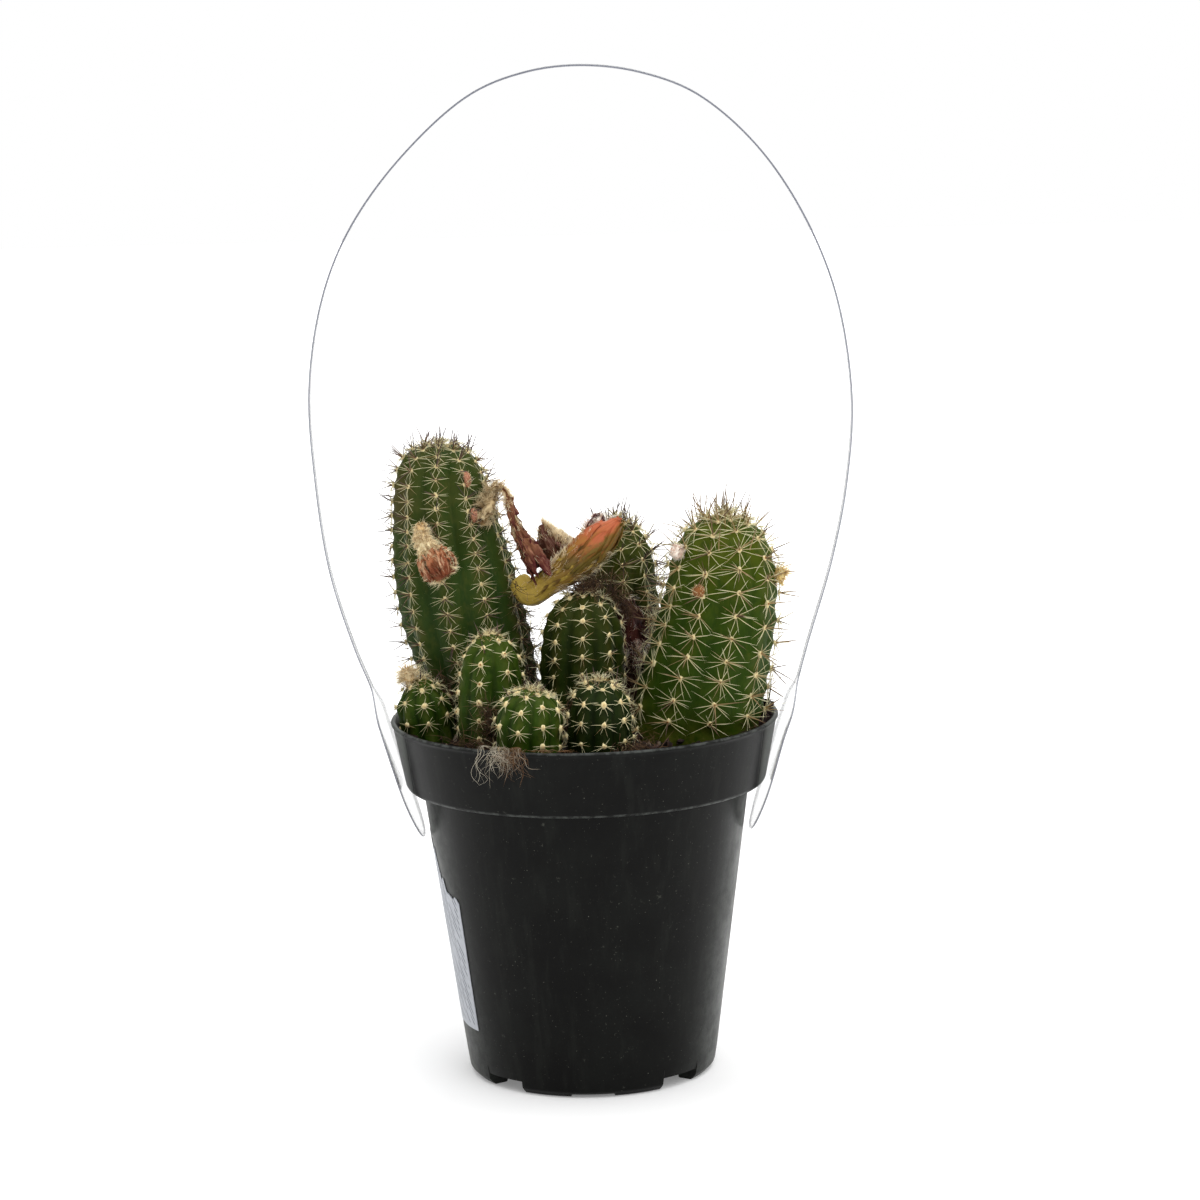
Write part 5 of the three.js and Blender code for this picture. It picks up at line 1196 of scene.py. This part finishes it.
def make_cone_bloom():
    cone = Bloom([beside("stem_back", 134, -66, 0.9), (-3, 12.6, 135.4), (-7.4, 7.8, 138.6), (-9.2, 7.2, 141.8),
                  (-10.2, 7, 144.4)],
                 [(0, 1.2), (0.15, 2.4), (0.42, 4.3), (0.66, 4.1), (0.86, 2.5), (1, 0.7)], 131)
    out, fleece = Gather(), Gather()
    cone.core(out, 0.84, 0.14, 7, 0.12, 90, 50, 40, 1.4)
    for i in range(26):
        start = 0.28 + 0.26 * cone.draw.random()
        cone.leaf(out, (start, start + 0.36), i * 137.5, 0.7 + 0.5 * cone.draw.random(), -0.1, 0.3 * cone.draw.normal(),
                  20 * cone.draw.normal(), 0.3, 0.4, 16, 5, 0.18, 0.5, cone.draw.random())
    make_piece("cone_bloom_petals", out, mauve, "cone_bloom")
    cone.hairs(fleece, 1500, (0.4, 1.0), (1.2, 2.4), 1.2, 0.3, 0.4, 0.08, 0.05, 0.9, (110, 235), steps=4, locks=150)
    cone.hairs(fleece, 260, (0.3, 0.95), (1.2, 2.6), 1.6, 0.2, 0.3, 0.05, 0.05, 0.9, locks=70)
    make_piece("cone_bloom_fleece", fleece, wool_grey)


def make_back_bloom():
    tuft = Bloom([beside("stem_back", 138.2, -48, 1.6), beside("stem_back", 141.6, -46, 3.4),
                  beside("stem_back", 144.2, -40, 5.2)], [(0, 1), (0.4, 2.7), (0.8, 2.6), (1, 1.6)], 137)
    out, leaves = Gather(), Gather()
    tuft.core(out, 0.85, 0.16, rows=18, columns=20)
    tuft.hairs(out, 1200, (-0.2, 1.1), (1.0, 2.4), 0.5, 0.6, 0.5, 0.075, 0.0, 0.8, locks=160)
    make_piece("back_bloom_fleece", out, wool_pink, "back_bloom")
    for i in range(6):
        tuft.leaf(leaves, (0.35 + 0.2 * tuft.draw.random(), 1.0 + 0.15 * tuft.draw.random()), 60 + i * 50, 0.6, 0.3,
                  0.3 * tuft.draw.normal(), 30, 0.5, 0.3, 12, 4, 0.16, 0.5, tuft.draw.random())
    make_piece("back_bloom_petals", leaves, maroon)


def make_low_bloom():
    body = Bloom([(12.6, 6.8, 92.6), (12.6, 6.6, 104), (12.8, 6.2, 112), (12.6, 6, 119), (11.6, 5.8, 124)],
                 [(0, 0.8), (0.2, 1.7), (0.45, 2.4), (0.62, 3.7), (0.82, 3.6), (1, 1.2)], 139)
    out, fuzz = Gather(), Gather()
    body.core(out, 0.84, 0.16, 6, 0.14, 120, 80, 32, 1.5)
    for i in range(30):
        start = 0.1 + 0.6 * body.draw.random()
        body.leaf(out, (start, start + 0.34), i * 137.5, 0.8 + 0.7 * body.draw.random(), -0.1, 0.4 * body.draw.normal(),
                  40 * body.draw.normal(), 0.5, 0.5, 18, 5, 0.18, 0.5, body.draw.random())
    make_piece("low_bloom_petals", out, maroon, "low_bloom")
    body.hairs(fuzz, 900, (0.5, 0.66), (0.9, 2.4), -0.6, 0.5, 0.5, 0.065, 0.1, 0.95, locks=90)
    body.hairs(fuzz, 260, (0.02, 1.0), (0.9, 2.4), 0.8, 0.5, 0.5, 0.05, 0.1, 0.95, locks=60)
    make_piece("low_bloom_fleece", fuzz, wool_pink)


def make_small_buds():
    """Wool tufts and tiny buds: a closed core with hairs or scales on it."""
    right, tall = "stem_right", "stem_tall_left"
    woolly = [
        ("right_bud", [beside(right, 138.2, -60, 0.1), beside(right, 138.9, -60, 1.4), beside(right, 139.8, -60, 3.0)],
         (0.9, 2.2, 2.1, 1.0), wool_pink, "pink_wool", 1100, (0.5, 1.0), 149),
        ("right_side_tuft", [beside(right, 132.4, 82, 0.0), beside(right, 132.9, 82, 1.1), beside(right, 133.6, 82, 2.3)],
         (0.8, 1.7, 1.4, 0.6), wool_yellow, "yellow_wool", 620, (1.0, 3.0), 151),
        ("small_left_tuft", [(-44.9, -6.4, 106.2), (-45.5, -6.4, 107.6), (-46.0, -6.4, 109.0)],
         (1.6, 2.3, 1.7, 0.8), wool_tan, "wool", 900, (1.2, 3.2), 157),
    ]
    for name, points, radii, material, slot, count, length, seed in woolly:
        tuft = Bloom(points, list(zip((0, 0.3, 0.7, 1), radii)), seed)
        out = Gather()
        tuft.core(out, 0.8, 0.2, rows=14, columns=18)
        tuft.hairs(out, count, (-0.2, 1.15), length, 0.4, 0.6, 0.7, 0.065, 0.1, 0.75, locks=count // 5)
        make_piece(name + "_fleece", out, material, name)
    scaly = [
        ("right_brown_bud", [beside(right, 130, -23, 1.1), beside(right, 130.2, -23, 2.2), beside(right, 130.6, -23, 3.4)],
         (0.8, 1.6, 1.2, 0.5), brown_scale, "brown_scales", 163),
        ("tall_bud_upper", [beside(tall, 155.6, 36, 0.7), beside(tall, 157.6, 36, 1.3), beside(tall, 160.0, 36, 1.5)],
         (0.5, 0.8, 0.6, 0.25), bud_pink, "petals", 167),
        ("tall_bud_lower", [beside(tall, 146, 35, 0.7), beside(tall, 148, 35, 1.3), beside(tall, 150.0, 35, 1.5)],
         (0.5, 0.8, 0.6, 0.25), bud_pink, "petals", 173),
    ]
    fuzz = Gather()
    for name, points, radii, material, slot, seed in scaly:
        bud = Bloom(points, list(zip((0, 0.35, 0.75, 1), radii)), seed)
        out = Gather()
        bud.core(out, 0.88, 0.06, rows=14, columns=18)
        for i in range(14):
            start = 0.05 + 0.5 * i / 14
            bud.leaf(out, (start, start + 0.5), i * 137.5, 0.4, 0.0, 0.1, 10, 0.12, 0.08, 8, 4, 0.12, 0.7, i / 14)
        make_piece(name + "_scales", out, material, name)
        bud.hairs(fuzz, 90, (0.0, 0.9), (0.6, 1.5), 0.9, 0.6, 0.5, 0.05, 0.0, 0.9)
    make_piece("small_bud_hairs", fuzz, wool_tan)


def make_root_hairs():
    """Dry roots that spill over the front rim, hooked over its top and hanging down its face."""
    draw = np.random.default_rng(179)
    out = Gather()
    middle = around(root_clump_angle, root_clump_circle, root_clump_z)
    shape, faces = ball(3)
    radial, across = around(root_clump_angle, 1, 0), around(root_clump_angle + 90, 1, 0)
    lumps = shape * (1 + 0.18 * wobble(shape, 0.5, 6))[:, None]
    out.add(middle + lumps[:, :1] * 6.0 * across + lumps[:, 1:2] * 1.2 * radial + lumps[:, 2:] * 0.8 * np.array([0, 0, 1]),
            [faces], tone=1.0, along=0.0)
    face = rim_radius + 0.3
    for _ in range(12):
        start = draw.uniform(-6.0, 5.5)
        drop = 2.4 + 10.5 * draw.random() ** 1.8 * (1 - 0.07 * abs(start + 1))
        sway = draw.normal() * 2.2
        shade = 0.5 + 0.09 * (start + 1)
        for _ in range(int(draw.integers(2, 6))):
            fall = drop * draw.uniform(0.6, 1.1)
            hook = [(45.6, 92.9, 0), (47.4, 94.8, 0.1), (49.3, 95.8, 0.2), (face - 0.2, 95.9, 0.3), (face + 0.7, 94.4, 0.45),
                    (face + 0.2 + draw.random(), 95 - fall * 0.45, 0.7), (face + 1.2 * draw.random(), 95 - fall * 0.75, 0.9),
                    (face + 1.4 * draw.random(), 95 - fall, 1.0)]
            knots = [around(root_clump_angle + start + part * sway + draw.normal() * (0.3 + 1.3 * part),
                            radius + abs(draw.normal()) * 0.3, z + draw.normal() * 0.6 * part) for radius, z, part in hook]
            path = Path(knots, 6)
            add_strands(out, path.at(np.linspace(0, path.length, 22))[None], np.array([draw.uniform(0.05, 0.12)]),
                        np.array([np.clip(shade + 0.2 * draw.normal(), 0, 1)]), 3)
    count = 110
    angle = root_clump_angle + np.clip(draw.normal(size=count) * 3.0 - 0.3, -6.5, 6.5)
    roots = around(angle, draw.uniform(49.6, face + 0.6, count), 95.3 - 3.4 * draw.random(count) ** 1.6)
    going = unit(around(angle, 0.5, -0.5) + 0.9 * draw.normal(size=(count, 3)))
    curls = curled(roots, going, draw.uniform(1.0, 3.8, count), draw, 10, 0.7, 0.5)
    side = root_clump_angle + np.linspace(7, 18, 20) + draw.normal(size=20)
    litter = around(side, draw.uniform(49.0, 50.4, 20), 95.2 + 0.3 * draw.random(20))
    lying = unit(around(side + 90, 1, 0.05) + 0.25 * draw.normal(size=(20, 3)) * np.array([1, 1, 0.4]))
    lying = curled(litter, lying, draw.uniform(1.2, 4.0, 20), draw, 10, 0.35, 0.0)
    lying[..., 2] = np.maximum(lying[..., 2], pot_height + 0.1)
    for paths in (curls, lying):
        reach = np.hypot(paths[..., 0], paths[..., 1])
        push = np.where(paths[..., 2] < pot_height + 0.3, np.maximum(face - reach, 0), 0)
        if paths is curls:
            paths[..., :2] *= (1 + push / reach)[..., None]
        tones = 0.5 + 0.09 * (angle - root_clump_angle + 1) if paths is curls else np.full(20, 1.1)
        add_strands(out, paths, draw.uniform(0.04, 0.09, len(paths)), np.clip(tones + 0.2 * draw.normal(size=len(paths)), 0, 1), 3)
    make_piece("root_hair_strands", out, root_fibre, "root_hairs")


def make_tangles():
    """Dry brown roots and flower threads caught between the stems."""
    draw = np.random.default_rng(181)
    out = Gather()
    spots = [
        ((-14.4, 3, 93), (-14.6, 4, 109), 1.4, 1.3, 110), ((-36.5, -3, 93), (-36.5, -3, 105), 3.0, 1.5, 240),
        ((-4.6, -28, 92), (-4.4, -27, 103), 0.9, 1.5, 150), ((-24.0, -27, 92), (-24.4, -26, 103), 1.2, 1.8, 170),
        ((-2.0, -5, 129.5), (6.0, -5.5, 131.5), 0.9, 1.2, 180), ((7.0, -2.5, 130.3), (12.6, 1.5, 120.5), 1.3, 1.5, 190),
        ((13.0, 2.5, 112), (12.6, 3.5, 94), 1.6, 1.5, 150), ((-17.4, -1, 131), (-15.2, 1, 118), 0.7, 1.4, 40),
        ((42, -22, 92), (46, -14, 93.5), 1.8, 1.2, 110), ((18, -31, 92), (8, -37, 92.5), 2.2, 1.0, 130),
        ((-34, -22, 92), (-24, -34, 92.5), 2.0, 1.0, 150), ((45.0, -9, 93.5), (45.6, -2, 95), 1.0, 1.2, 90),
    ]
    for first, last, wide, rise, count in spots:
        place = draw.random(count)[:, None]
        roots = np.array(first) * (1 - place) + np.array(last) * place + draw.normal(size=(count, 3)) * wide * 0.5
        going = unit(draw.normal(size=(count, 3)) * np.array([1, 1, rise]))
        paths = curled(roots, going, draw.uniform(2.0, 6.5, count), draw, 6, 0.8, 0.15)
        inside = (np.hypot(paths[..., 0], paths[..., 1]) < rim_radius - 2.6).all(axis=1)
        paths = paths[inside]
        add_strands(out, paths, draw.uniform(0.05, 0.13, len(paths)), draw.random(len(paths)), 3)
    stray = Path([(47.6, -3.0, 95.0), (48.6, -3.4, 99.5), (49.2, -3.6, 105.0)])
    add_strands(out, stray.at(np.linspace(0, stray.length, 6))[None], np.array([0.26]), np.array([1.0]), 4, 0.5)
    for _ in range(26):
        z = draw.uniform(99, 122)
        first = np.array(beside("stem_tall_left", z, draw.uniform(50, 85), -0.1))
        last = np.array(beside("stem_center", min(z + draw.normal() * 3, 122), draw.uniform(-130, -85), -0.1))
        knots = [first * (1 - t) + last * t + draw.normal(size=3) * 1.1 * math.sin(math.pi * t) for t in np.linspace(0, 1, 7)]
        path = Path(knots, 4)
        add_strands(out, path.at(np.linspace(0, path.length, 16))[None], np.array([0.07]), draw.random(1), 3, 0.7)
    make_piece("root_tangles", out, hair_brown)


make_pot()
make_label()
make_handle()
make_soil()
for stem in stems:
    stem.make()
    dress_stem(stem)
make_bud()
make_front_bloom()
make_side_wool()
make_hanging_bloom()
make_cone_bloom()
make_back_bloom()
make_low_bloom()
make_small_buds()
make_root_hairs()
make_tangles()


# Floor, light and camera
def make_floor():
    mesh = bpy.data.meshes.new("floor")
    half = 3.0
    mesh.from_pydata([(-half, -half, 0), (half, -half, 0), (half, half, 0), (-half, half, 0)], [], [(0, 1, 2, 3)])
    floor = bpy.data.objects.new("floor", mesh)
    bpy.context.scene.collection.objects.link(floor)
    # The floor glows, faintly near the pot and more further out: painted light that lifts the shadows on it and
    # brightens the pot's sides.
    f = Finish("floor_paper_painted_glow", Roughness=0.9, **{"Specular IOR Level": 0.1, "Emission Color": (1, 1, 1, 1)})
    reach = f.node("ShaderNodeVectorMath", {0: f.place}, operation="LENGTH").outputs["Value"]
    f.set(f.shader, {"Emission Strength": f.remap(reach, 0.1, 0.9, 0.2, 0.9)})
    mesh.materials.append(f.finish(colour=f.mix(f.noise(40.0, 2.0), srgb(232, 232, 232), srgb(229, 229, 229))))


def make_light():
    world = bpy.data.worlds.new("studio")
    bpy.context.scene.world = world
    world.use_nodes = True
    tree = world.node_tree
    tree.nodes.clear()
    direction = tree.nodes.new("ShaderNodeTexCoord")
    axes = tree.nodes.new("ShaderNodeSeparateXYZ")
    tree.links.new(direction.outputs["Generated"], axes.inputs[0])
    depth = tree.nodes.new("ShaderNodeMapRange")
    depth.interpolation_type = "SMOOTHSTEP"
    for key, value in (("From Min", -0.75), ("From Max", 0.15), ("To Min", 0.05), ("To Max", 1.0)):
        depth.inputs[key].default_value = value
    tree.links.new(axes.outputs["Y"], depth.inputs["Value"])
    lift = tree.nodes.new("ShaderNodeMapRange")
    lift.interpolation_type = "SMOOTHSTEP"
    for key, value in (("From Min", 0.35), ("From Max", 0.95), ("To Min", 0.0), ("To Max", 0.5)):
        lift.inputs[key].default_value = value
    tree.links.new(axes.outputs["Z"], lift.inputs["Value"])
    both = tree.nodes.new("ShaderNodeMath")
    both.operation = "ADD"
    tree.links.new(depth.outputs["Result"], both.inputs[0])
    tree.links.new(lift.outputs["Result"], both.inputs[1])
    seen = tree.nodes.new("ShaderNodeLightPath")
    strength = tree.nodes.new("ShaderNodeMix")
    strength.inputs[3].default_value = 1.0
    tree.links.new(seen.outputs["Is Camera Ray"], strength.inputs[0])
    tree.links.new(both.outputs[0], strength.inputs[2])
    background = tree.nodes.new("ShaderNodeBackground")
    background.inputs["Color"].default_value = (1, 1, 1, 1)
    tree.links.new(strength.outputs[0], background.inputs["Strength"])
    output = tree.nodes.new("ShaderNodeOutputWorld")
    tree.links.new(background.outputs[0], output.inputs["Surface"])
    for name, place, aim, size, power in (
        ("key", (0.4, -0.8, 0.95), (0, 0, 0.1), 1.1, 8.5),
        ("top", (0.1, 0.1, 1.1), (0, 0, 0.1), 1.0, 4.5),
    ):
        light = bpy.data.lights.new(name, "AREA")
        light.energy = power
        light.size = size
        lamp = bpy.data.objects.new(name, light)
        lamp.location = place
        lamp.rotation_mode = "QUATERNION"
        lamp.rotation_quaternion = (Vector(aim) - Vector(place)).to_track_quat("-Z", "Y")
        bpy.context.scene.collection.objects.link(lamp)


def make_camera():
    """The viewer's eye: a metre in front, a little above the plants, looking slightly down."""
    pitch, roll = 0.167, -0.024
    forward = Vector((0, math.cos(pitch), -math.sin(pitch)))
    level = Vector((1, 0, 0))
    upright = level.cross(forward)
    right = math.cos(roll) * level + math.sin(roll) * upright
    up = -math.sin(roll) * level + math.cos(roll) * upright
    data = bpy.data.cameras.new("camera")
    data.lens = 116.3
    data.sensor_width = 36
    camera = bpy.data.objects.new("camera", data)
    camera.matrix_world = Matrix((
        (right.x, up.x, -forward.x, 0.0048),
        (right.y, up.y, -forward.y, -1.0),
        (right.z, up.z, -forward.z, 0.2938),
        (0, 0, 0, 1),
    ))
    bpy.context.scene.collection.objects.link(camera)
    bpy.context.scene.camera = camera


make_floor()
make_light()
make_camera()
bpy.context.scene.view_settings.view_transform = "Standard"
